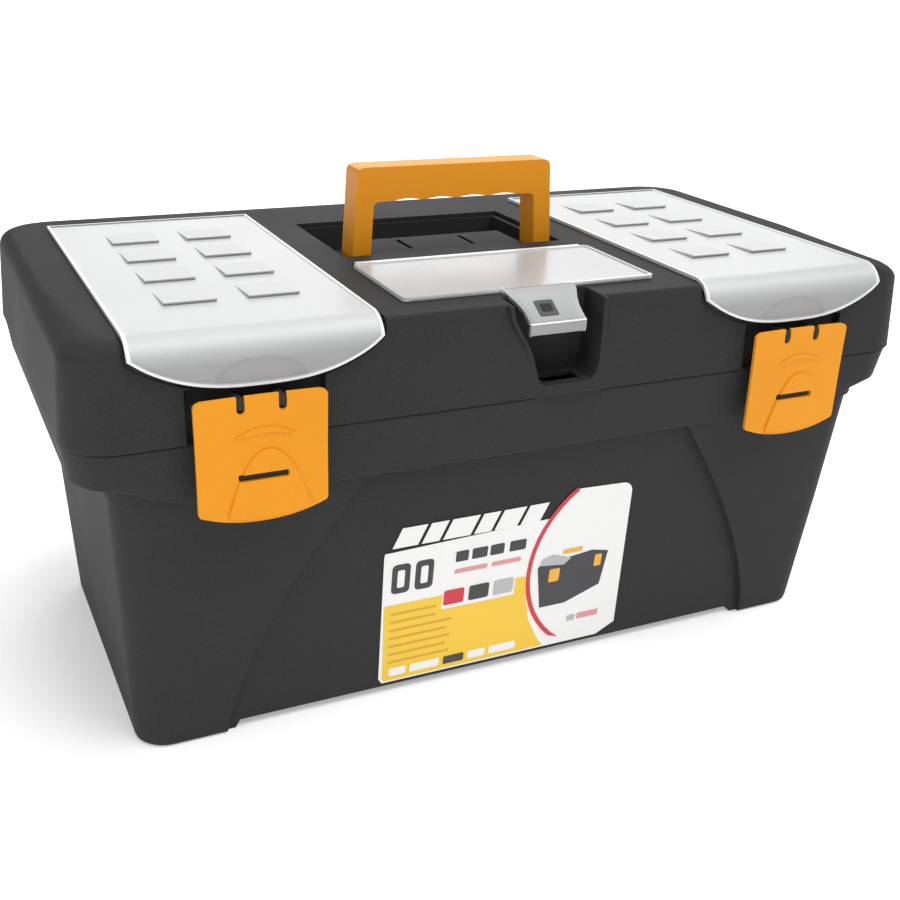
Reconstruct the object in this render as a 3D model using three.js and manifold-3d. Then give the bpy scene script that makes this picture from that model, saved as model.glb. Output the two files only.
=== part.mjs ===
// A lidded toolbox, 22 inch size, with a lift-out tray, two organizers in the lid and a folding handle.
// Millimetres, +Z up, front towards -Y. Origin: middle of the footprint, on the surface it stands on.

import * as THREE from 'three';
import { mergeVertices } from 'three/addons/utils/BufferGeometryUtils.js';
import Module from 'manifold-3d';

const wasm = await Module();
wasm.setup();

// ---------- driving dimensions ----------

// base
const floorLength = 498;
const floorDepth = 235;
const collarLow = 172; // height of the collar's lower edge
const rimHeight = 208.5; // top of the base's rim
const wallFlareX = 8; // how far each end wall leans out between the floor and the collar
const wallFlareY = 20.5; // the same for the front and back walls
const wall = 3;
const baseCorner = 20; // radius of the upright corners
const collarStep = 3.5; // the collar's lower edge stands this proud of the wall
const collarFlareX = 18.5; // how far the collar's ends stand out past that edge at the rim
const collarFlareY = 6;
const gripLow = 183; // the end grips' underside starts to turn outwards here ...
const gripHigh = 188; // ... and meets their upright face here
const gripReach = 16; // how far that face stands out at its lower edge
const collarCorner = 26;
const lipHeight = 4.5; // dust lip that stands up inside the lid
const lipInset = 5;
const lipThickness = 2;

// front panel and feet
const panelTopHalf = 111; // half width of the sunk front panel under the collar
const panelBottomHalf = 196;
const panelCurve = 1.5; // power of the curve that the panel's sides follow
const panelSteps = 7;
const panelDepth = 4;
const footHeight = 5.6;
const footInner = 190; // the feet start this far from the middle

// lid
const lidOverEnds = 1; // how far its lower edge reaches past the base's rim
const lidOverSides = 1.5;
const lidLength = floorLength + 2 * (wallFlareX + collarStep + collarFlareX + lidOverEnds);
const lidDepth = floorDepth + 2 * (wallFlareY + collarStep + collarFlareY + lidOverSides);
const lidLow = 209;
const lidShoulder = 256; // where the walls turn in towards the top
const lidTop = 267.3; // top face of the lid's frame
const lidDraft = 3; // the walls lean in by this between the lower edge and the shoulder
const shoulderX = 8.5; // how far the ends turn in above the shoulder
const shoulderY = 2.5;
const lidCorner = 24;
const plate = 2.8; // thickness of the lid's top

// organizers in the lid
const lidCoverThickness = 2.4;
const coverGap = 0.3; // between a cover and the frame it lies on
const organizerInner = 107; // organizer covers run from here ...
const organizerOuter = 246; // ... to here, either side of the middle
const flapProud = 0.8; // the cover's flap stands this far in front of the lid ...
const organizerFront = -lidDepth / 2 - flapProud;
const hingeMargin = 32; // ... and its hinge line lies this far inside the lid's back
const organizerHinge = lidDepth / 2 - hingeMargin;
const flapThickness = 2;
const flapSide = 260; // lower edge of the flap at its sides
const flapMiddle = 239; // lowest point of its curved edge
const binMargin = 3.3; // the bin's mouth is this far inside the cover's sides
const binMarginFront = 15;
const binFront = binMarginFront - lidDepth / 2;
const binLow = 236;
const binWall = 2.2;
const organizerDividers = [-52, 29];

// centre bin, its clear cover and the front notch
const centreHalf = 85;
const centreMargin = 26.8;
const centreFront = centreMargin - lidDepth / 2;
const centreHinge = -35.5;
const centreBinLow = 240;
const notchLeft = [[-27.5, 268], [-19, 250], [-12.5, 235], [-8.5, 221], [-4, 216]]; // left side, from the top
const notchRight = [[25, 216], [30, 219], [33.5, 232], [33.5, 268]]; // and its right side, from the bottom
const notchLow = 216;
const notchDepth = 32;
const notchBack = notchDepth - lidDepth / 2;
const notchWall = 2.5;
const notchSlot = [-1, 24]; // the scoop in the notch's floor runs between these
const tabMiddle = 2;
const tabTopHalf = 25;
const tabLowHalf = 18.5;
const tabLow = 248;
const tabProud = 0.5;
const tabFront = -lidDepth / 2 - tabProud;

// hinge barrels of the covers
const barrelRadius = 2.7;
const barrelHeight = 265.5;
const stubRadius = 1.7;
const stubReach = 5;
const barrelClear = 5.4; // half width of the trough a barrel turns in
const hingeClear = 4.6; // a cover's back corners stop this far in front of its hinge line

// carrying handle
const handleHalf = 74.3; // at the pivots
const handleTopHalf = 69.8;
const legWidth = 12.7;
const legDepth = 20;
const handleTop = 323;
const beamHeight = 22.5;
const handlePivotY = 0;
const handlePivotZ = 257;
const handleStub = 3.5;
const handleStubReach = 4.2;
const wellBack = 84;
const wellFloor = 244.3;
const wellWall = 2.2;
const wellSideWall = 4;
const wellGap = 1.4; // between the handle's legs and the well's sides
const platformHalf = 57.5;
const platformBack = 40;
const platformTop = 264;
const slotAt = 23.5; // the platform's two drain slots
const slotWidth = 3;
const slotFront = 8;
const slotBack = 34;

// main hinges
const hingeX = 170;
const hingeBehind = 4.5; // the hinge line lies this far behind the lid
const hingeY = lidDepth / 2 + hingeBehind;
const hingeZ = 210;
const hingeWebLow = 184; // lower end of the base hinge's web
const hingeWebHigh = 236; // upper end of the lid hinge's web
const knuckleRadius = 5;
const knuckleHalf = 26; // half length of a whole hinge
const lidKnuckleHalf = 9.5;
const knuckleGap = 0.6;
const pinRadius = 1.6;

// latches
const latchX = 179.5;
const latchHalf = 36.7;
const latchProud = 9.5; // the latches' faces stand this far in front of the lid
const latchFront = -lidDepth / 2 - latchProud;
const latchThickness = 3.5;
const latchTop = 236;
const latchEnds = 170; // its lower edge at the sides ...
const latchLow = 163; // ... and at the middle, where it bows down
const latchPivotDepth = 4.5;
const latchPivotY = latchFront + latchPivotDepth;
const latchPivotZ = 231;
const latchBar = 1.9;
const earOffset = 11.5;
const earThickness = 3.4;
const earRadius = 3.6;
const earSlotDepth = 9.5;
const recessHalf = 38.6;
const recessTop = 240;
const recessDepth = 7;
const recessBack = recessDepth - lidDepth / 2;
const recessWall = 2.5;
const catchHalf = 13;
const catchZ = 190;
const catchThickness = 2.2;
const catchGap = 0.9;
const catchShort = 1.9; // the catch ends this far behind the latch's face
const catchReach = latchFront + catchShort;

// tray
const trayTop = 178.3;
const trayLow = 126;
const trayFlange = 3;
const trayLedge = 3.2; // the flange lies this far over the ledge inside the collar
const trayWall = 2.2;
const trayGap = 1.5; // tray to base wall
const trayCorner = 16;
const gripTop = 203;
const gripShoulder = 170;
const gripHalf = 75;
const gripThickness = 4;
const handSlotHalf = 49;
const handSlotLow = 178;
const handSlotHigh = 196;
const dividerThickness = 2;
const dividerTop = 170;
const frontDividers = [-82, 82];
const backDividers = [-60, 60];

// label on the front panel
const labelLow = 8;
const labelHigh = 133;
const labelLeft = -99;
const labelRight = 83;
const labelThickness = 0.4;

const seat = 0.3; // gap between pieces that rest on or in each other
const cornerSteps = 5;
const roundSides = 12;
const beyond = 20; // how far a cutting solid runs past the face it opens

// ---------- solids from three.js geometry ----------

function solid(geometry) {
  geometry.deleteAttribute('normal');
  geometry.deleteAttribute('uv');
  const merged = mergeVertices(geometry, 1e-4);
  const vertProperties = new Float32Array(merged.attributes.position.array);
  const triVerts = new Uint32Array(merged.index.array);
  return new wasm.Manifold(new wasm.Mesh({ numProp: 3, vertProperties, triVerts }));
}

function block(x0, x1, y0, y1, z0, z1) {
  const geometry = new THREE.BoxGeometry(x1 - x0, y1 - y0, z1 - z0);
  geometry.translate((x0 + x1) / 2, (y0 + y1) / 2, (z0 + z1) / 2);
  return solid(geometry);
}

// The height a cut runs to when it opens something upwards from z.
function high(z) {
  return z + beyond;
}

// A block centred on x, for pieces that come in a left and a right copy.
function blockAt(x, halfX, y0, y1, z0, z1) {
  return block(x - halfX, x + halfX, y0, y1, z0, z1);
}

function roundedRect(halfX, halfY, radius) {
  const shape = new THREE.Shape();
  shape.absarc(halfX - radius, halfY - radius, radius, 0, Math.PI / 2);
  shape.absarc(radius - halfX, halfY - radius, radius, Math.PI / 2, Math.PI);
  shape.absarc(radius - halfX, radius - halfY, radius, Math.PI, 1.5 * Math.PI);
  shape.absarc(halfX - radius, radius - halfY, radius, 1.5 * Math.PI, 2 * Math.PI);
  return shape;
}

// A rounded block between two heights whose sides lean: [half x, half y] at the bottom and at the top.
function loft(lowHalf, highHalf, radius, low, high) {
  const shape = roundedRect(lowHalf[0], lowHalf[1], radius);
  const options = { depth: high - low, bevelEnabled: false, curveSegments: cornerSteps };
  const geometry = new THREE.ExtrudeGeometry(shape, options);
  const position = geometry.attributes.position;
  for (let i = 0; i < position.count; i += 1) {
    if (position.getZ(i) > 0) {
      const x = position.getX(i);
      const y = position.getY(i);
      position.setX(i, x + Math.sign(x) * (highHalf[0] - lowHalf[0]));
      position.setY(i, y + Math.sign(y) * (highHalf[1] - lowHalf[1]));
    }
  }
  geometry.translate(0, 0, low);
  return solid(geometry);
}

function outline(points) {
  return new THREE.Shape(points.map(([u, v]) => new THREE.Vector2(u, v)));
}

// A plate's outline whose lower edge bows down from its ends to the middle.
function bowedShape(half, top, ends, middle) {
  const pull = (middle * 4 - ends) / 3;
  const spread = half * 0.6;
  const shape = new THREE.Shape();
  shape.moveTo(-half, top);
  shape.lineTo(-half, ends);
  shape.bezierCurveTo(-spread, pull, spread, pull, half, ends);
  shape.lineTo(half, top);
  return shape;
}

// An outline drawn in (y, z), run along x.
function alongX(shape, x0, x1) {
  const options = { depth: x1 - x0, bevelEnabled: false, curveSegments: roundSides };
  const geometry = new THREE.ExtrudeGeometry(shape, options);
  geometry.applyMatrix4(new THREE.Matrix4().set(0, 0, 1, x0, 1, 0, 0, 0, 0, 1, 0, 0, 0, 0, 0, 1));
  return solid(geometry);
}

// An outline drawn in (x, z), run along y.
function alongY(shape, y0, y1) {
  const options = { depth: y1 - y0, bevelEnabled: false, curveSegments: roundSides };
  const geometry = new THREE.ExtrudeGeometry(shape, options);
  geometry.applyMatrix4(new THREE.Matrix4().set(1, 0, 0, 0, 0, 0, -1, y1, 0, 1, 0, 0, 0, 0, 0, 1));
  return solid(geometry);
}

function rodX(radius, x0, x1, y, z) {
  const geometry = new THREE.CylinderGeometry(radius, radius, x1 - x0, roundSides);
  geometry.rotateZ(Math.PI / 2);
  geometry.translate((x0 + x1) / 2, y, z);
  return solid(geometry);
}

// A bore that leaves a gap all round a rod of the given radius, although both are faceted.
function boreRadius(radius, gap = seat) {
  return (radius + gap) / Math.cos(Math.PI / roundSides);
}

// ---------- heights and sizes that several pieces share ----------

function wallHalf(z, inset) {
  const share = z / collarLow;
  return [
    floorLength / 2 + wallFlareX * share - inset,
    floorDepth / 2 + wallFlareY * share - inset,
  ];
}

function wallBlock(inset, low, high) {
  return loft(wallHalf(low, inset), wallHalf(high, inset), baseCorner - inset, low, high);
}

// Height share between two levels, held within 0 and 1.
function shareOf(z, low, high) {
  return Math.min(1, Math.max(0, (z - low) / (high - low)));
}

function collarHalf(z, inset) {
  const [x, y] = wallHalf(collarLow, 0);
  const under = collarFlareX - gripReach;
  let endReach = (under / 2) * shareOf(z, collarLow, gripLow);
  endReach += (gripReach - under / 2) * shareOf(z, gripLow, gripHigh);
  endReach += under * shareOf(z, gripHigh, rimHeight);
  const frontReach = (collarFlareY * (z - collarLow)) / (rimHeight - collarLow);
  return [x + collarStep + endReach - inset, y + collarStep + frontReach - inset];
}

// The collar in three slices, or with `inset` the room inside it. Each level of that room lies a wall's
// thickness higher than the collar's own, so that the grips' undersides keep their thickness.
function collarBlock(inset, top) {
  const heights = [collarLow, gripLow, gripHigh, top];
  const slices = heights.slice(1).map((high, i) => {
    const low = heights[i];
    const from = collarHalf(low, inset);
    const to = collarHalf(high, inset);
    const lift = high < top ? inset : 0;
    return loft(from, to, collarCorner - inset, low + inset, high + lift);
  });
  return slices.reduce((joined, slice) => joined.add(slice));
}

function lidHalf(z, inset) {
  const up = Math.min(z, lidShoulder);
  const over = Math.max(0, z - lidShoulder) / (lidTop - lidShoulder);
  const draft = (lidDraft * (up - lidLow)) / (lidShoulder - lidLow);
  return [
    lidLength / 2 - draft - shoulderX * over * over - inset,
    lidDepth / 2 - draft - shoulderY * over * over - inset,
  ];
}

function lidBlock(inset, heights) {
  const slices = heights.slice(1).map((high, i) => {
    const low = heights[i];
    return loft(lidHalf(low, inset), lidHalf(high, inset), lidCorner - inset, low, high);
  });
  return slices.reduce((joined, slice) => joined.add(slice));
}

const lidMidShoulder = (lidShoulder + lidTop) / 2;
const coverLow = lidTop + coverGap;
const coverTop = coverLow + lidCoverThickness;
const frameLow = lidTop - plate;
const wellHalf = handleHalf + wellGap;
const wellFront = handlePivotY - legDepth / 2 - wellGap / 2;
const organizerMiddle = (organizerInner + organizerOuter) / 2;
const binHalf = (organizerOuter - organizerInner) / 2 - binMargin;
const centreBinHalf = centreHalf - binMargin;
const ledgeHeight = collarLow + wall;

// ---------- base ----------

function panelPrism(margin) {
  const side = [];
  for (let i = 0; i <= panelSteps; i += 1) {
    const z = (collarLow * i) / panelSteps;
    const half = panelBottomHalf - (panelBottomHalf - panelTopHalf) * (i / panelSteps) ** panelCurve;
    side.push([half + margin, z]);
  }
  const bottom = [[side[0][0], -beyond]];
  const right = bottom.concat(side);
  const left = right.map(([x, z]) => [-x, z]).reverse();
  return alongY(outline(right.concat(left)), -lidDepth, -lidDepth / 6);
}

// What a sunk front panel takes off a wall whose outer face is `inset` inside the base's outer face.
function panelCut(inset, margin) {
  const top = collarLow + beyond;
  const [lowX, lowY] = wallHalf(-beyond, inset + panelDepth);
  const [highX, highY] = wallHalf(top, inset + panelDepth);
  const core = loft([lowX + beyond, lowY], [highX + beyond, highY], baseCorner, -beyond, top);
  return panelPrism(margin).subtract(core);
}

// One outer half of a main hinge: two knuckles on a web that backs onto the collar.
function baseHinge() {
  const [, faceLow] = collarHalf(hingeWebLow, 0);
  const [, faceHigh] = collarHalf(rimHeight, 0);
  const web = outline([
    [faceLow + seat, hingeWebLow],
    [hingeY + knuckleRadius, hingeZ - knuckleRadius / 2],
    [hingeY + knuckleRadius, hingeZ],
    [hingeY, hingeZ],
    [faceHigh + seat, rimHeight - wall],
  ]);
  const half = knuckleHalf;
  const room = lidKnuckleHalf + knuckleGap;
  const bore = rodX(boreRadius(pinRadius), -half - 1, half + 1, hingeY, hingeZ);
  const low = hingeZ - knuckleRadius * 2;
  const middle = blockAt(0, room, hingeY - knuckleRadius - 1, lidDepth, low, lidTop);
  const hinge = alongX(web, -half, half).add(rodX(knuckleRadius, -half, half, hingeY, hingeZ));
  return hinge.subtract(middle).subtract(bore);
}

// The nub on the collar that a latch's slot snaps over.
function latchCatch() {
  const half = catchThickness / 2;
  const [, face] = collarHalf(catchZ + half, 0);
  return block(-catchHalf, catchHalf, catchReach, -face - seat, catchZ - half, catchZ + half);
}

function baseShell() {
  const [, lidY] = lidHalf(lidLow, 0);
  let shell = wallBlock(0, 0, ledgeHeight).add(collarBlock(0, rimHeight));
  shell = shell.subtract(panelCut(0, 0));
  shell = shell.subtract(block(-footInner, footInner, -lidY, lidY, -beyond, footHeight));

  const floorBlock = block(-footInner - wall, footInner + wall, -lidY, lidY, 0, footHeight + wall);
  let hollow = wallBlock(wall, wall, ledgeHeight + seat).subtract(panelCut(wall, wall));
  hollow = hollow.subtract(floorBlock);
  hollow = hollow.add(collarBlock(wall, rimHeight + lipHeight + beyond));

  const rimHalf = collarHalf(rimHeight, 0);
  const lipHalf = collarHalf(rimHeight, lipInset);
  const lipInner = lipHalf.map((size) => size - lipThickness);
  const lipRadius = collarCorner - lipInset;
  const lipTop = rimHeight + lipHeight;
  const lipBlock = loft(lipHalf, lipHalf, lipRadius, rimHeight - wall, lipTop);
  const lipRoom = loft(lipInner, lipInner, lipRadius - lipThickness, ledgeHeight, lipTop + 1);
  const shelf = loft(rimHalf, rimHalf, collarCorner, rimHeight - wall, rimHeight);
  let lip = lipBlock.add(shelf).subtract(lipRoom);
  for (const side of [-1, 1]) {
    const half = recessHalf + recessWall + 1;
    lip = lip.subtract(blockAt(side * latchX, half, -lidY, 0, rimHeight, high(rimHeight)));
  }
  return shell.subtract(hollow).add(lip);
}

function hingePin() {
  const half = knuckleHalf - 1;
  return rodX(pinRadius, -half, half, 0, 0);
}

function frontLabel() {
  const radius = 8;
  const halfX = (labelRight - labelLeft) / 2;
  const halfZ = (labelHigh - labelLow) / 2;
  return alongY(roundedRect(halfX, halfZ, radius), -labelThickness, 0);
}

// ---------- lid ----------

// The block that a latch's seat fills in the lid's front; with a margin, the room it needs there.
function latchBlock(x, margin) {
  const half = recessHalf + recessWall + margin;
  const back = recessBack + recessWall + margin;
  return blockAt(x, half, -lidDepth, back, lidLow - margin, recessTop + recessWall + margin);
}

function latchEar(x) {
  const shape = new THREE.Shape();
  shape.moveTo(recessBack + 1, latchPivotZ + earRadius);
  shape.absarc(latchPivotY, latchPivotZ, earRadius, Math.PI / 2, 1.5 * Math.PI);
  shape.lineTo(recessBack + 1, latchPivotZ - earRadius);
  return alongX(shape, x - earThickness / 2, x + earThickness / 2);
}

// The recess a latch lies in, with the two ears that carry its bar.
function latchSeat() {
  let pan = latchBlock(0, 0).intersect(lidBlock(0, [lidLow, lidShoulder]));
  pan = pan.subtract(blockAt(0, recessHalf, -lidDepth, recessBack, 0, recessTop));
  for (const side of [-1, 1]) {
    pan = pan.add(latchEar(side * earOffset));
  }
  const half = earOffset + earThickness;
  return pan.subtract(rodX(boreRadius(latchBar), -half, half, latchPivotY, latchPivotZ));
}

// The middle knuckle of a main hinge, on a web that backs onto the lid's rear wall.
function lidHinge() {
  const [, faceLow] = lidHalf(lidLow, 0);
  const [, faceHigh] = lidHalf(hingeWebHigh, 0);
  const web = outline([
    [faceLow + seat, hingeZ + knuckleRadius],
    [hingeY, hingeZ],
    [hingeY + knuckleRadius, hingeZ],
    [hingeY + knuckleRadius, hingeZ + knuckleRadius / 2],
    [faceHigh + seat, hingeWebHigh],
  ]);
  const half = lidKnuckleHalf;
  const knuckle = alongX(web, -half, half).add(rodX(knuckleRadius, -half, half, hingeY, hingeZ));
  return knuckle.subtract(rodX(boreRadius(pinRadius), -half - 1, half + 1, hingeY, hingeZ));
}

// Room for a whole hinge along the lid's lower edge.
function hingeRoom(x) {
  const radius = boreRadius(knuckleRadius, knuckleGap);
  return rodX(radius, x - knuckleHalf - 1, x + knuckleHalf + 1, hingeY, hingeZ);
}

function notchOutline(margin) {
  const left = notchLeft.map(([x, z]) => [x - margin, z > notchLow ? z : z - margin]);
  const right = notchRight.map(([x, z]) => [x + margin, z > notchLow ? z : z - margin]);
  const top = lidTop + beyond;
  return outline([[left[0][0], top], ...left, ...right, [right[right.length - 1][0], top]]);
}

// The hollow under the centre cover's tab, where a finger lifts it.
function notchPocket() {
  const [, front] = lidHalf(lidLow, 0);
  const walls = alongY(notchOutline(notchWall), -lidDepth, notchBack + notchWall);
  const pocket = walls.intersect(lidBlock(0, [lidLow, lidShoulder, lidMidShoulder, lidTop]));
  const hollow = alongY(notchOutline(0), -lidDepth, notchBack);
  const [x0, x1] = notchSlot;
  const slot = block(x0, x1, -front + wall * 3, notchBack - wall * 2, lidLow, notchLow + 1);
  return pocket.subtract(hollow).subtract(slot);
}

// Lugs under the lid's top that hold the stub ends of a cover's hinge barrel.
function coverLugs(x, halfX, y) {
  const lug = barrelClear;
  const low = barrelHeight - lug;
  const width = stubReach + seat;
  const left = block(x - halfX - width, x - halfX, y - lug, y + lug, low, lidTop);
  const right = block(x + halfX, x + halfX + width, y - lug, y + lug, low, lidTop);
  return left.add(right);
}

function stubBores(x, halfX, y) {
  const reach = halfX + stubReach;
  return rodX(boreRadius(stubRadius), x - reach, x + reach, y, barrelHeight);
}

// The lid without its bins and pockets.
function wholeLid() {
  const outer = lidBlock(0, [lidLow, lidShoulder, lidMidShoulder, lidTop]);
  const [x, y] = lidHalf(lidShoulder, wall);
  const roof = [x - shoulderX, y - shoulderY];
  let inner = loft(lidHalf(lidLow, wall), [x, y], lidCorner - wall, lidLow, lidShoulder);
  inner = inner.add(loft([x, y], roof, lidCorner - wall, lidShoulder, frameLow));
  inner = inner.add(loft(lidHalf(lidLow, wall), lidHalf(lidLow, wall), lidCorner - wall, 0, lidLow));
  let shell = outer.subtract(inner);

  const above = lidTop + beyond;
  const low = frameLow - beyond;
  for (const side of [-1, 1]) {
    shell = shell.subtract(latchBlock(side * latchX, seat));
    const middle = side * organizerMiddle;
    shell = shell.add(coverLugs(middle, binHalf, organizerHinge));
    shell = shell.subtract(blockAt(middle, binHalf, binFront, organizerHinge + barrelClear, low, above));
    shell = shell.subtract(stubBores(middle, binHalf, organizerHinge));
    shell = shell.subtract(hingeRoom(side * hingeX));
  }
  const binStart = notchBack + notchWall + seat;
  shell = shell.subtract(alongY(notchOutline(notchWall + seat), -lidDepth, binStart));
  shell = shell.add(coverLugs(0, centreBinHalf, centreHinge));
  shell = shell.subtract(blockAt(0, centreBinHalf, binStart, centreHinge + barrelClear, low, above));
  shell = shell.subtract(stubBores(0, centreBinHalf, centreHinge));
  const wellSide = wellHalf + wellSideWall + seat;
  const around = wellWall + seat;
  return shell.subtract(blockAt(0, wellSide, wellFront - around, wellBack + around, low, above));
}

function lidShell() {
  const slice = block(-lidLength, lidLength, -lidDepth, lidDepth, lidShoulder + seat / 2, lidTop);
  return wholeLid().intersect(slice);
}

function lidSkirt() {
  const slice = block(-lidLength, lidLength, -lidDepth, lidDepth, lidLow, lidShoulder - seat / 2);
  return wholeLid().intersect(slice);
}

// An open box hung in the lid's frame, with a shelf along its back under the cover's hinge barrel.
function hangingBin(halfX, front, hinge, low) {
  const back = hinge + barrelClear - seat;
  const top = frameLow - seat;
  const shelfTop = barrelHeight - barrelRadius - seat * 2;
  const cavityBack = hinge - barrelClear - wall;
  const inX = halfX - seat;
  let bin = block(-inX, inX, front + seat, back, low, top);
  const cavityX = inX - binWall;
  bin = bin.subtract(blockAt(0, cavityX, front + seat + binWall, cavityBack, low + binWall, high(top)));
  bin = bin.subtract(block(-halfX, halfX, cavityBack + binWall, back + 1, low - 1, shelfTop - binWall));
  return bin.subtract(block(-halfX, halfX, hinge - barrelClear, back + 1, shelfTop, high(top)));
}

function binDivider() {
  const half = binHalf - seat * 2 - binWall;
  const low = binLow + binWall + seat;
  return block(-half, half, -dividerThickness / 2, dividerThickness / 2, low, frameLow - wall);
}

function handleWell() {
  const side = wellHalf + wellSideWall;
  const top = frameLow - seat;
  let pan = block(-side, side, wellFront - wellWall, wellBack + wellWall, wellFloor, top);
  pan = pan.subtract(block(-wellHalf, wellHalf, wellFront, wellBack, wellFloor + wellWall, high(top)));
  const inner = platformHalf - wellWall;
  const platformFront = wellFront - wellWall;
  const platform = blockAt(0, platformHalf, platformFront, platformBack, wellFloor, platformTop);
  const hollow = blockAt(0, inner, wellFront, platformBack - wellWall, 0, platformTop - wellWall);
  pan = pan.add(platform).subtract(hollow);
  for (const x of [-slotAt, slotAt]) {
    pan = pan.subtract(blockAt(x, slotWidth / 2, slotFront, slotBack, 0, high(top)));
  }
  return pan.subtract(rodX(boreRadius(handleStub), -side - 1, side + 1, handlePivotY, handlePivotZ));
}

// ---------- handle ----------

function carryHandle() {
  const rise = handleTop - handlePivotZ;
  const foot = legDepth / 2;
  const bevel = 3;
  const sideShape = new THREE.Shape();
  sideShape.moveTo(foot, rise - bevel);
  sideShape.lineTo(foot - bevel, rise);
  sideShape.lineTo(bevel - foot, rise);
  sideShape.lineTo(-foot, rise - bevel);
  sideShape.lineTo(-foot, 0);
  sideShape.absarc(0, 0, foot, Math.PI, 2 * Math.PI);
  const beamLow = rise - beamHeight;
  const lean = (handleHalf - handleTopHalf) / rise;
  const inner = (z) => handleHalf - legWidth - lean * z;
  const frontShape = outline([
    [-handleHalf, 0],
    [-handleHalf, -foot],
    [-inner(0), -foot],
    [-inner(0), 0],
    [-inner(beamLow), beamLow],
    [inner(beamLow), beamLow],
    [inner(0), 0],
    [inner(0), -foot],
    [handleHalf, -foot],
    [handleHalf, 0],
    [handleTopHalf, rise],
    [-handleTopHalf, rise],
  ]);
  const sides = alongX(sideShape, -handleHalf, handleHalf);
  const bow = sides.intersect(alongY(frontShape, -foot, foot));
  const stub = handleHalf + handleStubReach;
  const stubs = rodX(handleStub, -stub, stub, 0, 0);
  const between = blockAt(0, handleHalf - legWidth / 2, -foot, foot, -foot, foot);
  return bow.add(stubs.subtract(between));
}

// ---------- covers ----------

// A hinge barrel along x with stub ends, about its own axis.
function barrel(halfX) {
  const length = halfX - seat;
  const stubs = rodX(stubRadius, -halfX - stubReach + seat * 3, halfX + stubReach - seat * 3, 0, 0);
  return rodX(barrelRadius, -length, length, 0, 0).add(stubs);
}

// A cover's plate about its hinge line. Its back corners stop short, clear of the lid's frame as it opens.
function coverPlate(halfX, roomHalf, front, low, top) {
  const plateBlock = block(-halfX, halfX, front, -hingeClear, low, top);
  return plateBlock.add(block(seat - roomHalf, roomHalf - seat, front, barrelRadius / 2, low, top));
}

function organizerCover() {
  const half = (organizerOuter - organizerInner) / 2;
  const front = organizerFront - organizerHinge;
  const low = coverLow - barrelHeight;
  const top = coverTop - barrelHeight;
  let cover = coverPlate(half, binHalf, front, low, top);
  const flap = bowedShape(half, top, flapSide - barrelHeight, flapMiddle - barrelHeight);
  cover = cover.add(alongY(flap, front, front + flapThickness));
  return cover.add(barrel(binHalf));
}

function centreCover() {
  const front = centreFront - centreHinge;
  const low = coverLow - barrelHeight;
  const top = coverTop - barrelHeight;
  const cover = coverPlate(centreHalf, centreBinHalf, front, low, top);
  const tip = tabFront - centreHinge;
  const tabEnd = tabLow - barrelHeight;
  const profile = outline([
    [front + 1, top],
    [front, top],
    [tip, tabEnd + wall],
    [tip, tabEnd],
    [tip + wall, tabEnd],
    [front + 1, low],
  ]);
  const face = outline([
    [tabMiddle - tabTopHalf, top + 1],
    [tabMiddle - tabLowHalf, tabEnd + wall * 2],
    [tabMiddle - tabLowHalf, tabEnd - 1],
    [tabMiddle + tabLowHalf, tabEnd - 1],
    [tabMiddle + tabLowHalf, tabEnd + wall * 2],
    [tabMiddle + tabTopHalf, top + 1],
  ]);
  const run = alongX(profile, tabMiddle - tabTopHalf, tabMiddle + tabTopHalf);
  const tab = run.intersect(alongY(face, tip - 1, front + 2));
  return cover.add(tab).add(barrel(centreBinHalf));
}

// ---------- latches ----------

function latch() {
  const front = latchFront - latchPivotY;
  const top = latchTop - latchPivotZ;
  const ends = latchEnds - latchPivotZ;
  const shape = bowedShape(latchHalf, top, ends, latchLow - latchPivotZ);
  let body = alongY(shape, front, front + latchThickness);
  const slot = (earThickness + 1) / 2;
  for (const side of [-1, 1]) {
    const x = side * earOffset;
    body = body.subtract(blockAt(x, slot, front - 1, 1, top - earSlotDepth, top + 1));
  }
  const catchRoom = catchThickness / 2 + catchGap;
  const at = catchZ - latchPivotZ;
  const halfSlot = catchHalf + catchGap;
  body = body.subtract(blockAt(0, halfSlot, front - 1, 1, at - catchRoom, at + catchRoom));
  const barHalf = earOffset + earThickness / 2 + wall;
  return body.add(rodX(latchBar, -barHalf, barHalf, 0, 0));
}

// ---------- tray ----------

function trayHalf(z, inset) {
  const [x, y] = wallHalf(z, wall + trayGap + inset);
  return [x, y - panelDepth];
}

function tray() {
  const flangeHalf = wallHalf(ledgeHeight, wall - trayLedge);
  const low = trayTop - trayFlange;
  const outer = loft(trayHalf(trayLow, 0), trayHalf(trayTop, 0), trayCorner, trayLow, trayTop);
  const flangeSize = [flangeHalf[0], flangeHalf[1] - 1];
  const flange = loft(flangeSize, flangeSize, collarCorner - wall, low, trayTop);
  const floor = trayLow + trayWall;
  const mouth = trayTop + 1;
  const corner = trayCorner - trayWall;
  const inside = loft(trayHalf(floor, trayWall), trayHalf(mouth, trayWall), corner, floor, mouth);
  return outer.add(flange).subtract(inside);
}

function trayGrip() {
  const low = trayLow + trayWall + seat;
  const [endLow] = trayHalf(low, trayWall + seat);
  const rise = gripTop - gripShoulder;
  const shape = outline([
    [-endLow, low],
    [endLow, low],
    [endLow, gripShoulder],
    [gripHalf + rise / 2, gripShoulder],
    [gripHalf, gripTop],
    [-gripHalf, gripTop],
    [-gripHalf - rise / 2, gripShoulder],
    [-endLow, gripShoulder],
  ]);
  const grip = alongY(shape, -gripThickness / 2, gripThickness / 2);
  const reach = gripThickness;
  return grip.subtract(blockAt(0, handSlotHalf, -reach, reach, handSlotLow, handSlotHigh));
}

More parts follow.
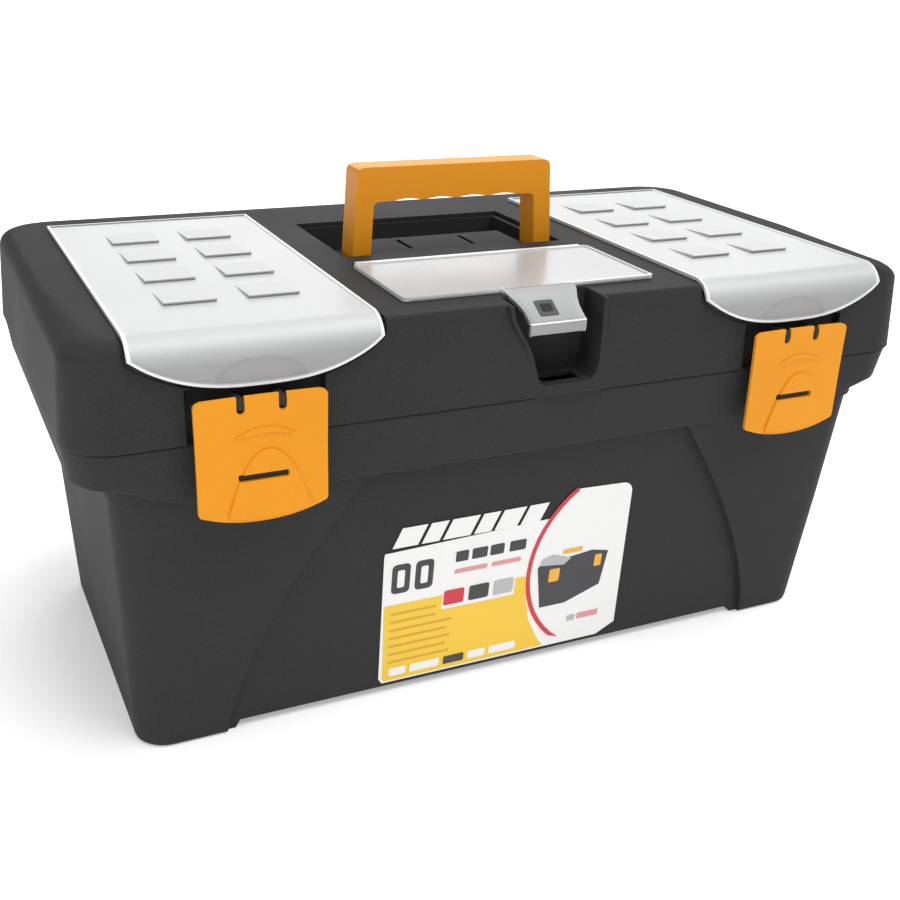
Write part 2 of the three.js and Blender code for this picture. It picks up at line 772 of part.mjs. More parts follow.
function trayDivider(side) {
  const low = trayLow + trayWall + seat;
  const near = side * (gripThickness / 2 + seat);
  const [, farLow] = trayHalf(low, trayWall + seat);
  const [, farHigh] = trayHalf(dividerTop, trayWall + seat);
  const points = [[near, low], [side * farLow, low], [side * farHigh, dividerTop], [near, dividerTop]];
  if (side < 0) {
    points.reverse();
  }
  return alongX(outline(points), -dividerThickness / 2, dividerThickness / 2);
}

// ---------- materials and assembly ----------

const finish = {
  darkPlastic: { color: 0x3b3b3d, roughness: 0.55, metalness: 0 },
  orangePlastic: { color: 0xe99a20, roughness: 0.4, metalness: 0 },
  frostedPlastic: { color: 0xd6d8da, roughness: 0.45, metalness: 0 },
  clearPlastic: { color: 0xcfd3d6, roughness: 0.15, metalness: 0 },
  steel: { color: 0x9a9da1, roughness: 0.35, metalness: 1 },
  paper: { color: 0xf2f2ee, roughness: 0.5, metalness: 0 },
};

const toolbox = new THREE.Group();

function piece(name, shape, look, x = 0, y = 0, z = 0) {
  const { vertProperties, triVerts } = shape.getMesh();
  const geometry = new THREE.BufferGeometry();
  geometry.setAttribute('position', new THREE.BufferAttribute(vertProperties, 3));
  geometry.setIndex(new THREE.BufferAttribute(triVerts, 1));
  const mesh = new THREE.Mesh(geometry, new THREE.MeshStandardMaterial(finish[look]));
  mesh.name = name;
  mesh.position.set(x, y, z);
  toolbox.add(mesh);
  return mesh;
}

piece('base_shell', baseShell(), 'darkPlastic');
piece('lid_shell', lidShell(), 'darkPlastic');
piece('lid_skirt', lidSkirt(), 'darkPlastic');
const centreBinFront = notchBack + notchWall + seat;
piece('centre_bin', hangingBin(centreBinHalf, centreBinFront, centreHinge, centreBinLow), 'darkPlastic');
piece('handle_well', handleWell(), 'darkPlastic');
piece('notch_pocket', notchPocket(), 'darkPlastic');
piece('carry_handle', carryHandle(), 'orangePlastic', 0, handlePivotY, handlePivotZ);
piece('centre_cover', centreCover(), 'clearPlastic', 0, centreHinge, barrelHeight);

for (const [word, side] of [['left', -1], ['right', 1]]) {
  piece(`hinge_base_${word}`, baseHinge(), 'darkPlastic', side * hingeX);
  piece(`hinge_lid_${word}`, lidHinge(), 'darkPlastic', side * hingeX);
  piece(`hinge_pin_${word}`, hingePin(), 'steel', side * hingeX, hingeY, hingeZ);
  piece(`latch_catch_${word}`, latchCatch(), 'darkPlastic', side * latchX);
  piece(`latch_seat_${word}`, latchSeat(), 'darkPlastic', side * latchX);
  piece(`latch_${word}`, latch(), 'orangePlastic', side * latchX, latchPivotY, latchPivotZ);
  const middle = side * organizerMiddle;
  const bin = hangingBin(binHalf, binFront, organizerHinge, binLow);
  piece(`organizer_bin_${word}`, bin, 'darkPlastic', middle);
  piece(`organizer_cover_${word}`, organizerCover(), 'frostedPlastic', middle, organizerHinge, barrelHeight);
  organizerDividers.forEach((y, i) => {
    piece(`organizer_divider_${word}_${i + 1}`, binDivider(), 'darkPlastic', middle, y);
  });
}

piece('tray', tray(), 'darkPlastic');
piece('tray_grip', trayGrip(), 'orangePlastic');
frontDividers.forEach((x, i) => {
  piece(`tray_divider_front_${i + 1}`, trayDivider(-1), 'darkPlastic', x);
});
backDividers.forEach((x, i) => {
  piece(`tray_divider_back_${i + 1}`, trayDivider(1), 'darkPlastic', x);
});

const labelMiddle = (labelLow + labelHigh) / 2;
const panelFace = -wallHalf(labelMiddle, panelDepth)[1];
const label = piece(
  'front_label',
  frontLabel(),
  'paper',
  (labelLeft + labelRight) / 2,
  panelFace - seat,
  labelMiddle,
);
label.rotation.x = Math.atan2(wallFlareY, collarLow);

export default toolbox;
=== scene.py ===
"""Looks of the toolbox with tray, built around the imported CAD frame. Metres, front towards -Y, +Z up."""

import math

import bmesh
import bpy
from mathutils import Matrix, Vector


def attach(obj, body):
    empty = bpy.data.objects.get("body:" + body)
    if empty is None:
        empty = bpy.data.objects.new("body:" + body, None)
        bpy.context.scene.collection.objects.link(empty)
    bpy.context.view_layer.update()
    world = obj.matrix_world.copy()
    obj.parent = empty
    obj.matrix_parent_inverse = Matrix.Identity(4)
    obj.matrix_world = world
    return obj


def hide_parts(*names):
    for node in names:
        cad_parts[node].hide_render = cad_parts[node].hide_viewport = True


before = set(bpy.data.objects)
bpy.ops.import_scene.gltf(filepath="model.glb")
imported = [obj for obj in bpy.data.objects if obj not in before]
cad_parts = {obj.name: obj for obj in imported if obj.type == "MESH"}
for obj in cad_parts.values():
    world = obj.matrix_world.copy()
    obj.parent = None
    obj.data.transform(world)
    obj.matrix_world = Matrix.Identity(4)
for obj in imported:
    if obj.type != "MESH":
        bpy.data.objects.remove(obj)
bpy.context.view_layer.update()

# ---------- driving dimensions (the frame's own, in metres) ----------

FLOOR_LENGTH = 0.498
FLOOR_DEPTH = 0.235
COLLAR_LOW = 0.172
RIM = 0.2085
FLARE_X = 0.008
FLARE_Y = 0.0205
WALL = 0.003
BASE_CORNER = 0.020
COLLAR_CORNER = 0.026
COLLAR_STEP = 0.0035
COLLAR_LEAN = 0.006
GRIP_RISE = 0.0105  # the collar's lower edge rises by this towards the end grips
LEDGE = 0.175
PANEL_TOP = 0.111
PANEL_BOTTOM = 0.196
PANEL_POWER = 1.5
PANEL_DEPTH = 0.004
FOOT_HEIGHT = 0.0056
FOOT_INNER = 0.190

LID_LENGTH = 0.560
LID_DEPTH = 0.298
LID_LOW = 0.209
LID_SHOULDER = 0.256
LID_TOP = 0.2673
LID_DRAFT = 0.003
SHOULDER_X = 0.0085
SHOULDER_Y = 0.0025
LID_CORNER = 0.024
FOLD_START = -0.022  # forward of this the ends' shoulders grow wider
FOLD_RATE = 0.127

ORGANIZER_MIDDLE = 0.1765
ORGANIZER_HALF = 0.0693
ORGANIZER_HINGE = 0.117
BIN_HALF = 0.0662
BIN_FRONT = -0.134
COVER_LOW = 0.2676
COVER_FACE = 0.2688
COVER_FRONT = -0.1498
COVER_BEND = 0.016
COVER_THICK = 0.00128  # of the bend and the flap
FLAP_SIDE = 0.2585
FLAP_LOW = 0.2392
TILE_HALF = 0.015
TILE_LENGTH = 0.030
TILE_RISE = 0.0021
TILE_COLUMN = 0.024  # the two columns of tiles lie this far either side of the middle
TILE_FRONT = 0.0525  # front edge of the rearmost tile
TILE_PITCH = 0.0482
TILES = 4
BARREL_HEIGHT = 0.2655
BARREL_RADIUS = 0.0026
STUB_RADIUS = 0.0016
STUB_REACH = 0.0038
COVER_CLEAR = 0.0046  # a cover's back corners stop this far in front of its hinge line

CENTRE_HALF = 0.0848
CENTRE_FRONT = -0.1222
CENTRE_HINGE = -0.0355
CENTRE_TOP = 0.2692
CENTRE_RIM_TOP = 0.2699
CENTRE_BIN_HALF = 0.0817
TAB_MIDDLE = 0.002
TAB_TOP_HALF = 0.0245
TAB_LOW_HALF = 0.0185
TAB_THICK = 0.0018
NOTCH_BACK = -0.123
NOTCH_LOW = 0.216
NOTCH_WALL = 0.0025

HANDLE_HALF = 0.0743
HANDLE_TOP_HALF = 0.0698
LEG_WIDTH = 0.0127
LEG_DEPTH = 0.020
HANDLE_TOP = 0.323
HANDLE_PIVOT_Y = 0.0
HANDLE_PIVOT_Z = 0.257
HANDLE_FOOT = 0.247
HANDLE_STUB = 0.004
BEAM_HEIGHT = 0.0225
WELL_BACK = 0.084
WELL_SIDE = 0.0797
WELL_FRONT = -0.0107

HINGE_X = 0.170
HINGE_Y = 0.1535
HINGE_Z = 0.210

LATCH_X = 0.1795
LATCH_HALF = 0.0366
LATCH_FRONT = -0.1584
LATCH_ARCH_RISE = 0.0012
LATCH_THICK = 0.0034
LATCH_TOP = 0.236
LATCH_ENDS = 0.170
LATCH_LOW = 0.1632
LATCH_PIVOT_Y = -0.154
LATCH_PIVOT_Z = 0.231
EAR_OFFSET = 0.0115
CATCH_Z = 0.190
RECESS_HALF = 0.0386
RECESS_TOP = 0.240
RECESS_BACK = -0.142

LABEL_LOW = 0.0085
LABEL_HIGH = 0.1325
LABEL_LEFT = -0.0965
LABEL_RIGHT = 0.0825

TRAY_LOW = 0.126
TRAY_TOP = 0.1783
TRAY_FLANGE_LOW = 0.1753
TRAY_FLANGE = (0.2572, 0.1375)

FAR = 0.40  # farther out than any piece
CORNER_STEPS = 14
LONG_STEPS = 28
SHORT_STEPS = 12


# ---------- mesh helpers ----------

def make_object(name, verts, faces):
    mesh = bpy.data.meshes.new(name)
    mesh.from_pydata([tuple(v) for v in verts], [], faces)
    mesh.update()
    obj = bpy.data.objects.new(name, mesh)
    bpy.context.scene.collection.objects.link(obj)
    tidy_normals(obj)
    return obj


def tidy_normals(obj):
    mesh = bmesh.new()
    mesh.from_mesh(obj.data)
    bmesh.ops.remove_doubles(mesh, verts=mesh.verts, dist=1e-6)
    bmesh.ops.recalc_face_normals(mesh, faces=mesh.faces)
    mesh.to_mesh(obj.data)
    mesh.free()


def apply_modifiers(obj):
    graph = bpy.context.evaluated_depsgraph_get()
    mesh = bpy.data.meshes.new_from_object(obj.evaluated_get(graph))
    obj.modifiers.clear()
    obj.data = mesh


def combine(obj, other, operation):
    modifier = obj.modifiers.new("combine", "BOOLEAN")
    modifier.operation = operation
    modifier.solver = "EXACT"
    modifier.object = other
    apply_modifiers(obj)
    bpy.data.objects.remove(other)
    return obj


def cut(obj, other):
    return combine(obj, other, "DIFFERENCE")


def join(obj, other):
    return combine(obj, other, "UNION")


def overlap_of(obj, other):
    return combine(obj, other, "INTERSECT")


def bevel_edges(obj, width, segments, angle):
    """Rounds the sharp edges; the rounded strips take the second of two empty material slots."""
    obj.data.materials.clear()
    for _ in ("faces", "edges"):
        obj.data.materials.append(None)
    modifier = obj.modifiers.new("edges", "BEVEL")
    modifier.width = width
    modifier.segments = segments
    modifier.limit_method = "ANGLE"
    modifier.angle_limit = math.radians(angle)
    modifier.material = 1
    return modifier


def weight_normals(obj):
    obj.modifiers.new("normals", "WEIGHTED_NORMAL").keep_sharp = True


def soften(obj, width, segments=3, angle=32):
    tidy_normals(obj)
    bevel_edges(obj, width, segments, angle).miter_outer = "MITER_ARC"
    apply_modifiers(obj)
    smooth(obj)
    return obj


def smooth(obj, angle=40):
    obj.data.shade_smooth()
    obj.data.set_sharp_from_angle(angle=math.radians(angle))
    weight_normals(obj)
    return obj


def ring(half, radius, z, middle_y=0.0):
    """A rounded rectangle at one height, with points along its straight sides too."""
    half_x, half_y = half
    points = []
    corners = ((1, 1, 0), (-1, 1, 90), (-1, -1, 180), (1, -1, 270))
    for index, (side_x, side_y, start) in enumerate(corners):
        for step in range(CORNER_STEPS + 1):
            angle = math.radians(start + 90 * step / CORNER_STEPS)
            x = side_x * (half_x - radius) + radius * math.cos(angle)
            y = side_y * (half_y - radius) + radius * math.sin(angle)
            points.append(Vector((x, y + middle_y, z)))
        steps = SHORT_STEPS if index % 2 else LONG_STEPS
        here = points[-1]
        next_x, next_y, _ = corners[(index + 1) % 4]
        if index % 2:
            there = Vector((next_x * half_x, next_y * (half_y - radius) + middle_y, z))
        else:
            there = Vector((next_x * (half_x - radius), next_y * half_y + middle_y, z))
        for step in range(1, steps):
            points.append(here.lerp(there, step / steps))
    return points


def ring_loft(name, rings):
    """A closed body from rings of equal count, capped at the first and the last."""
    count = len(rings[0])
    verts = [point for points in rings for point in points]
    faces = [tuple(range(count)), tuple(range(len(verts) - count, len(verts)))]
    for level in range(len(rings) - 1):
        low = level * count
        high = low + count
        for i in range(count):
            j = (i + 1) % count
            faces.append((low + i, low + j, high + j, high + i))
    return make_object(name, verts, faces)


def prism(name, outline, place_low, place_high):
    """An outline of (u, v) pairs run between two placing functions."""
    count = len(outline)
    verts = [place_low(u, v) for u, v in outline] + [place_high(u, v) for u, v in outline]
    faces = [tuple(range(count)), tuple(range(count, 2 * count))]
    for i in range(count):
        j = (i + 1) % count
        faces.append((i, j, count + j, count + i))
    return make_object(name, verts, faces)


def along_x(outline, x0, x1):
    return prism("run", outline, lambda u, v: (x0, u, v), lambda u, v: (x1, u, v))


def along_y(outline, y0, y1):
    return prism("run", outline, lambda u, v: (u, y0, v), lambda u, v: (u, y1, v))


def along_z(outline, z0, z1):
    return prism("run", outline, lambda u, v: (u, v, z0), lambda u, v: (u, v, z1))


def block(x0, x1, y0, y1, z0, z1):
    return along_z([(x0, y0), (x1, y0), (x1, y1), (x0, y1)], z0, z1)


def arc(middle, radius, start, end, steps):
    """Points on an arc, angles in degrees."""
    points = []
    for step in range(steps + 1):
        angle = math.radians(start + (end - start) * step / steps)
        points.append((middle[0] + radius * math.cos(angle), middle[1] + radius * math.sin(angle)))
    return points


def rounded_outline(u0, u1, v0, v1, radius, steps=6):
    points = arc((u1 - radius, v1 - radius), radius, 0, 90, steps)
    points += arc((u0 + radius, v1 - radius), radius, 90, 180, steps)
    points += arc((u0 + radius, v0 + radius), radius, 180, 270, steps)
    points += arc((u1 - radius, v0 + radius), radius, 270, 360, steps)
    return points


def rod_x(radius, x0, x1, y, z, steps=24):
    return along_x(arc((y, z), radius, 0, 360 - 360 / steps, steps - 1), x0, x1)


def smoothstep(value, low, high):
    share = min(1.0, max(0.0, (value - low) / (high - low)))
    return share * share * (3 - 2 * share)


# ---------- base ----------

def wall_half(z, inset=0.0):
    share = z / COLLAR_LOW
    return (
        FLOOR_LENGTH / 2 + FLARE_X * share - inset,
        FLOOR_DEPTH / 2 + FLARE_Y * share - inset,
    )


def wall_face(z):
    return -wall_half(z)[1]


def collar_lift(points):
    """Raises the collar's lower edge round the corners, towards the end grips."""
    for point in points:
        point.z += GRIP_RISE * smoothstep(abs(point.x), 0.212, 0.258)
    return points


def fillet_rings(half_at, corner, low, turns):
    """Rings of a rounded bottom edge, at some angles of its turn."""
    fillet = 0.003
    rings = []
    for turn in turns:
        back = fillet * (1 - math.sin(math.radians(turn)))
        z = low + fillet * (1 - math.cos(math.radians(turn)))
        rings.append(ring(half_at(z, back), corner - back, z))
    return rings


def collar_rings(wall_x, wall_y):
    """The rolled lower edge of the collar, then the end grips' underside."""
    corner = BASE_CORNER + 0.002
    rings = [collar_lift(ring((wall_x, wall_y), corner, COLLAR_LOW - 0.0022))]
    for out, up in ((0.0004, -0.0008), (0.0013, -0.0002), (0.0029, 0.0), (0.0034, 0.0004)):
        rings.append(collar_lift(ring((wall_x + out, wall_y + out), corner + out, COLLAR_LOW + up)))
    half = (wall_x + COLLAR_STEP, wall_y + COLLAR_STEP)
    rings.append(collar_lift(ring(half, BASE_CORNER + 0.005, COLLAR_LOW + 0.0012)))
    for out, up, radius in ((0.0178, 0.0146, 0.026), (0.0190, 0.0152, 0.027), (0.0196, 0.0164, 0.0275)):
        lean = COLLAR_LEAN * up / (RIM - COLLAR_LOW)
        rings.append(ring((wall_x + out, wall_y + COLLAR_STEP + lean), radius, COLLAR_LOW + up))
    return rings


def rim_rings(rim_x, rim_y):
    """The rim's edge, then the dust lip that stands up inside the lid."""
    rings = []
    for inset, radius, down in ((0.0001, 0.028, 0.0010), (0.0003, 0.028, 0.0003), (0.0010, 0.027, 0.0)):
        rings.append(ring((rim_x - inset, rim_y - inset), radius, RIM - down))
    for inset, z in ((0.0050, RIM), (0.0050, 0.2124), (0.0054, 0.2129), (0.0066, 0.2129), (0.0070, 0.2124)):
        rings.append(ring((rim_x - inset, rim_y - inset), COLLAR_CORNER - inset + 0.002, z))
    return rings


def base_rings():
    wall_x, wall_y = wall_half(COLLAR_LOW)
    rim_x = wall_x + 0.022
    rim_y = wall_y + COLLAR_STEP + COLLAR_LEAN
    rings = fillet_rings(wall_half, BASE_CORNER, 0.0, (0, 30, 60, 90))
    rings.append(ring(wall_half(0.09), BASE_CORNER + 0.001, 0.09))
    rings += collar_rings(wall_x, wall_y) + rim_rings(rim_x, rim_y)
    # inside: down to the ledge that the tray rests on, then down the wall to the floor
    corner = 0.021
    rings.append(ring((rim_x - 0.0070, rim_y - 0.0070), corner, 0.1930))
    rings.append(ring((rim_x - 0.0090, rim_y - 0.0072), corner, 0.1912))
    rings.append(ring((wall_x + 0.0026, wall_y + 0.0012), corner, 0.1866))
    rings.append(ring((wall_x + 0.0014, wall_y + 0.0008), corner, LEDGE))
    front_extra = PANEL_DEPTH / 2
    down = [(LEDGE, 0.0, 0.017), (LEDGE - 0.001, 0.0, 0.017), (0.0130, 0.0, 0.016)]
    down += [(0.0100, 0.0012, 0.015), (0.0088, 0.0040, 0.012)]
    for z, shrink, radius in down:
        x, y = wall_half(z, WALL + shrink)
        rings.append(ring((x, y - front_extra), radius, z, front_extra))
    return rings


def panel_outline():
    side = []
    steps = 12
    for step in range(steps + 1):
        share = step / steps
        half = PANEL_BOTTOM - (PANEL_BOTTOM - PANEL_TOP) * share ** PANEL_POWER
        side.append((half, COLLAR_LOW * share))
    right = [(side[0][0], -0.02)] + side
    return right + [(-x, z) for x, z in reversed(right)]


def collar_face(z):
    """Where the collar's front face lies at a height."""
    return wall_face(COLLAR_LOW) - COLLAR_STEP - COLLAR_LEAN * (z - COLLAR_LOW) / (RIM - COLLAR_LOW)


def collar_scoop():
    """The shallow hollow in the collar under the lid's notch."""
    middle, half, depth = 0.0135, 0.0255, 0.0022
    low, high = 0.1765, 0.2125
    outline = [(middle + half, -0.02), (middle - half, -0.02)]
    for step in range(17):
        share = -1 + step / 8
        outline.append((middle + share * half, depth * (1 - abs(share) ** 4)))
    return prism(
        "scoop",
        outline,
        lambda x, y: (x, collar_face(low) + y - depth, low),
        lambda x, y: (x, collar_face(high) + y, high),
    )


def build_base():
    base = ring_loft("visual_base", base_rings())
    cut(base, collar_scoop())
    panel = prism(
        "panel",
        panel_outline(),
        lambda x, z: (x, -0.19, z),
        lambda x, z: (x, wall_face(z) + PANEL_DEPTH, z),
    )
    cut(base, panel)
    slope = FOOT_INNER - 0.003
    under = [(-FOOT_INNER, -0.02), (-FOOT_INNER, 0.0), (-slope, FOOT_HEIGHT)]
    under += [(slope, FOOT_HEIGHT), (FOOT_INNER, 0.0), (FOOT_INNER, -0.02)]
    cut(base, along_y(under, -FAR, FAR))
    for side in (-1, 1):
        x = side * LATCH_X
        half = RECESS_HALF + 0.0035
        cut(base, block(x - half, x + half, -FAR, -0.12, RIM, 0.23))
    return soften(base, 0.0009, 3, 34)


# ---------- lid ----------

def lid_half(z, inset=0.0):
    draft = LID_DRAFT * (min(z, LID_SHOULDER) - LID_LOW) / (LID_SHOULDER - LID_LOW)
    return LID_LENGTH / 2 - draft - inset, LID_DEPTH / 2 - draft - inset


def fold(points, share):
    """Widens the ends' shoulders towards the front corners."""
    for point in points:
        if abs(point.x) > 0.2:
            inward = FOLD_RATE * max(0.0, FOLD_START - point.y) * share
            point.x -= math.copysign(inward, point.x)
    return points


def lid_rings():
    rings = []
    top_x, top_y = lid_half(LID_SHOULDER)
    rise = LID_TOP - LID_SHOULDER
    steps = 7
    for step in range(steps, -1, -1):
        angle = math.radians(90 * step / steps)
        over = 1 - math.cos(angle)
        half = (top_x - SHOULDER_X * over, top_y - SHOULDER_Y * over)
        z = LID_SHOULDER + rise * math.sin(angle)
        rings.append(fold(ring(half, LID_CORNER + 0.004 * over, z), over))
    rings.append(ring(lid_half(0.232), LID_CORNER + 0.002, 0.232))
    # the lower edge, from the outside in
    edge = [(0.0, 0.004, 0.0012), (0.0004, 0.004, 0.0003), (0.0010, 0.004, 0.0)]
    edge += [(WALL - 0.0006, 0.001, 0.0), (WALL, 0.001, 0.0006)]
    for inset, corner, up in edge:
        rings.append(ring(lid_half(LID_LOW, inset), LID_CORNER + corner, LID_LOW + up))
    # inside, up to the underside of the top
    roof = [(0.2740, 0.1425, 0.2540, 0.0), (0.2700, 0.1395, 0.2610, 0.7), (0.2620, 0.1360, 0.2645, 0.9)]
    for x, y, z, share in roof:
        rings.append(fold(ring((x, y), LID_CORNER - 0.003, z), share))
    return rings


def flap_low(x):
    """Height of the flap's lower edge, x from the cover's middle."""
    share = abs(x) / ORGANIZER_HALF
    return FLAP_LOW + (FLAP_SIDE - FLAP_LOW) * share ** 2.7


def flap_outline(margin):
    half = ORGANIZER_HALF + margin
    steps = 24
    points = []
    for step in range(steps + 1):
        x = -half + 2 * half * step / steps
        points.append((x, flap_low(x * ORGANIZER_HALF / half) - margin))
    return points + [(half, 0.30), (-half, 0.30)]


def flap_room(middle):
    """What a cover's bend and flap need of the lid's front shoulder."""
    bend = COVER_BEND - 0.002
    turn_y = COVER_FRONT + 0.0045 + bend
    turn_z = COVER_FACE - COVER_BEND
    path = arc((turn_y, turn_z), bend + 0.0004, 90, 180, 10)
    side = path + [(path[-1][0], 0.22), (-0.19, 0.22), (-0.19, 0.30), (turn_y, 0.30)]
    room = along_x(side, middle - 0.1, middle + 0.1)
    mask = along_y([(x + middle, z) for x, z in flap_outline(0.0024)], -0.20, -0.10)
    return overlap_of(room, mask)


def latch_ear(x):
    radius = 0.0036
    back = RECESS_BACK + 0.001
    side = [(back, LATCH_PIVOT_Z + radius)]
    side += arc((LATCH_PIVOT_Y, LATCH_PIVOT_Z), radius, 90, 270, 14)
    side += [(back, LATCH_PIVOT_Z - radius)]
    return along_x(side, x - 0.0017, x + 0.0017)


def notch_points(margin):
    low = NOTCH_LOW
    points = [(-0.0275, 0.268), (-0.0255, 0.259), (-0.0215, 0.251), (-0.0165, 0.2435), (-0.0125, 0.235)]
    points += [(-0.0100, 0.227), (-0.0085, 0.2205), (-0.0070, 0.2175), (-0.0040, low)]
    points += [(0.0245, low), (0.0285, 0.2172), (0.0310, 0.2205), (0.0330, 0.2270)]
    points += [(0.0335, 0.238), (0.0335, 0.268)]
    moved = []
    for x, z in points:
        out = margin if x > 0.004 else -margin
        moved.append((x + out, z - margin if z <= low else z))
    return [(moved[0][0], 0.30)] + moved + [(moved[-1][0], 0.30)]


def notch_back(margin):
    """The notch's rear wall is hollowed like half a cup; its outline seen from above."""
    middle, half, bow, shoulder = 0.0105, 0.040, 0.009, -0.126
    points = [(-FAR, -FAR), (-0.060, shoulder + margin)]
    for step in range(17):
        share = -1 + step / 8
        y = NOTCH_BACK + margin - bow * abs(share) ** 3
        points.append((middle + share * half, y))
    return points + [(FAR, shoulder + margin), (FAR, -FAR)]


def cut_notch(lid):
    walls = along_y(notch_points(NOTCH_WALL), -0.1478, NOTCH_BACK + NOTCH_WALL)
    overlap_of(walls, along_z(notch_back(NOTCH_WALL), 0.20, LID_TOP - 0.0004))
    join(lid, walls)
    hollow = along_y(notch_points(0.0), -0.17, NOTCH_BACK)
    overlap_of(hollow, along_z(notch_back(0.0), 0.20, 0.32))
    cut(lid, hollow)
    return cut(lid, block(-0.0010, 0.0240, -0.1410, -0.1290, 0.205, NOTCH_LOW + 0.002))


def build_lid():
    lid = ring_loft("visual_lid", lid_rings())
    wall = 0.0025
    bin_back = 0.1224
    knuckle = 0.0061
    for side in (-1, 1):
        x = side * LATCH_X
        half = RECESS_HALF + wall
        join(lid, block(x - half, x + half, -0.1476, RECESS_BACK + wall, LID_LOW, RECESS_TOP + wall))
        cut(lid, flap_room(side * ORGANIZER_MIDDLE))
        cut(lid, block(x - RECESS_HALF, x + RECESS_HALF, -FAR, RECESS_BACK, 0.19, RECESS_TOP))
        for ear in (-1, 1):
            join(lid, latch_ear(x + ear * EAR_OFFSET))
        middle = side * ORGANIZER_MIDDLE
        mouth = rounded_outline(middle - BIN_HALF, middle + BIN_HALF, BIN_FRONT, bin_back, 0.001, 2)
        cut(lid, along_z(mouth, 0.25, 0.30))
        hinge_x = side * HINGE_X
        cut(lid, rod_x(knuckle, hinge_x - 0.027, hinge_x + 0.027, HINGE_Y, HINGE_Z))
    cut_notch(lid)
    cut(lid, block(-CENTRE_BIN_HALF, CENTRE_BIN_HALF, -0.1142, -0.0301, 0.25, 0.30))
    well = WELL_SIDE + 0.0003
    cut(lid, block(-well, well, WELL_FRONT - wall, WELL_BACK + wall, 0.25, 0.30))
    return soften(lid, 0.0010, 3, 34)


# ---------- organizer covers ----------

def cover_path(length):
    """Point and outward normal in (y, z) at a length along the cover, from the start of its bend."""
    turn_y = COVER_FRONT + COVER_BEND
    turn_z = COVER_FACE - COVER_BEND
    quarter = COVER_BEND * math.pi / 2
    if length <= 0:
        return (turn_y - length, COVER_FACE), (0.0, 1.0)
    if length >= quarter:
        return (COVER_FRONT, turn_z - (length - quarter)), (-1.0, 0.0)
    angle = length / COVER_BEND
    normal = (-math.sin(angle), math.cos(angle))
    return (turn_y + COVER_BEND * normal[0], turn_z + COVER_BEND * normal[1]), normal


def path_length_at(z):
    turn_z = COVER_FACE - COVER_BEND
    quarter = COVER_BEND * math.pi / 2
    if z <= turn_z:
        return quarter + turn_z - z
    return COVER_BEND * math.acos(min(1.0, (z - turn_z) / COVER_BEND))


def cover_columns():
    half = ORGANIZER_HALF
    inner = half - 0.0030
    steps = 72
    columns = [-half, -half + 0.0016, -half + 0.0022]
    columns += [-inner + 2 * inner * step / steps for step in range(steps + 1)]
    return columns + [half - 0.0022, half - 0.0016, half]


def cover_rows(x, back):
    """Lengths along the cover at one column; negative ones lie on the flat top."""
    end = path_length_at(flap_low(x))
    flat = [-back, -back + 0.0016, -back + 0.0022]
    flat += [-back + 0.004 + (back - 0.004) * step / 14 for step in range(15)]
    rim = 0.0022
    steps = 34
    bent = [(end - rim) * (step + 1) / steps for step in range(steps)]
    return flat + bent + [end - 0.0016, end - 0.0008, end]


def cover_offset(x, length, end, back):
    """Height of the outer face over the plain cover: the rim stands up and the thumb hollow dips."""
    rim_height, rim_width = 0.0009, 0.0019
    if min(ORGANIZER_HALF - abs(x), end - length, length + back) < rim_width:
        return rim_height
    (_, z), _ = cover_path(length)
    half_x, middle_z, half_z = 0.0265, 0.2385, 0.0165
    inside = 1 - math.hypot(x / half_x, (z - middle_z) / half_z)
    if length > 0 and inside > 0:
        return -0.0009 * min(1.0, inside / 0.07) * (1 - 0.35 * inside)
    return 0.0


def grid_shell(name, outer, inner, count):
    """A closed sheet between two grids of points, both in columns of count points."""
    total = len(outer)
    columns = total // count
    faces = []
    for layer in (0, total):
        for i in range(columns - 1):
            for j in range(count - 1):
                a = layer + i * count + j
                faces.append((a, a + 1, a + count + 1, a + count))
    for i in range(columns - 1):
        for j in (0, count - 1):
            a = i * count + j
            faces.append((a, a + count, a + count + total, a + total))
    for i in (0, columns - 1):
        for j in range(count - 1):
            a = i * count + j
            faces.append((a, a + 1, a + 1 + total, a + total))
    return make_object(name, outer + inner, faces)


def cover_shell(name, middle):
    back = ORGANIZER_HINGE + 0.0012 - (COVER_FRONT + COVER_BEND)
    outer, inner = [], []
    for x in cover_columns():
        rows = cover_rows(x, back)
        for length in rows:
            (y, z), (ny, nz) = cover_path(length)
            lift = cover_offset(x, length, rows[-1], back)
            outer.append((middle + x, y + ny * lift, z + nz * lift))
            sink = COVER_FACE - COVER_LOW if length < 0 else COVER_THICK
            inner.append((middle + x, y - ny * sink, z - nz * sink))
    return grid_shell(name, outer, inner, len(cover_rows(0.0, back)))


def louvre(middle, front):
    """A ramp that rises towards the front and ends in a lip over an undercut."""
    half = TILE_HALF
    back = front + TILE_LENGTH
    low = COVER_FACE - 0.0004
    high = COVER_FACE + TILE_RISE
    lip = 0.0007
    profile = [(front + 0.0016, low), (front + 0.0010, high - lip), (front, high - lip * 0.8)]
    profile += [(front + 0.0002, high - 0.0001), (front + 0.0014, high)]
    profile += [(back, COVER_FACE + 0.00005), (back + 0.0006, low)]
    return along_x(profile, middle - half, middle + half)


def hinge_barrel(middle, half, hinge):
    """A cover's barrel between the bin's walls, with the stub ends that turn in them."""
    half_barrel = half - 0.0004
    barrel = rod_x(BARREL_RADIUS, middle - half_barrel, middle + half_barrel, hinge, BARREL_HEIGHT, 20)
    reach = half + STUB_REACH
    return join(barrel, rod_x(STUB_RADIUS, middle - reach, middle + reach, hinge, BARREL_HEIGHT, 16))


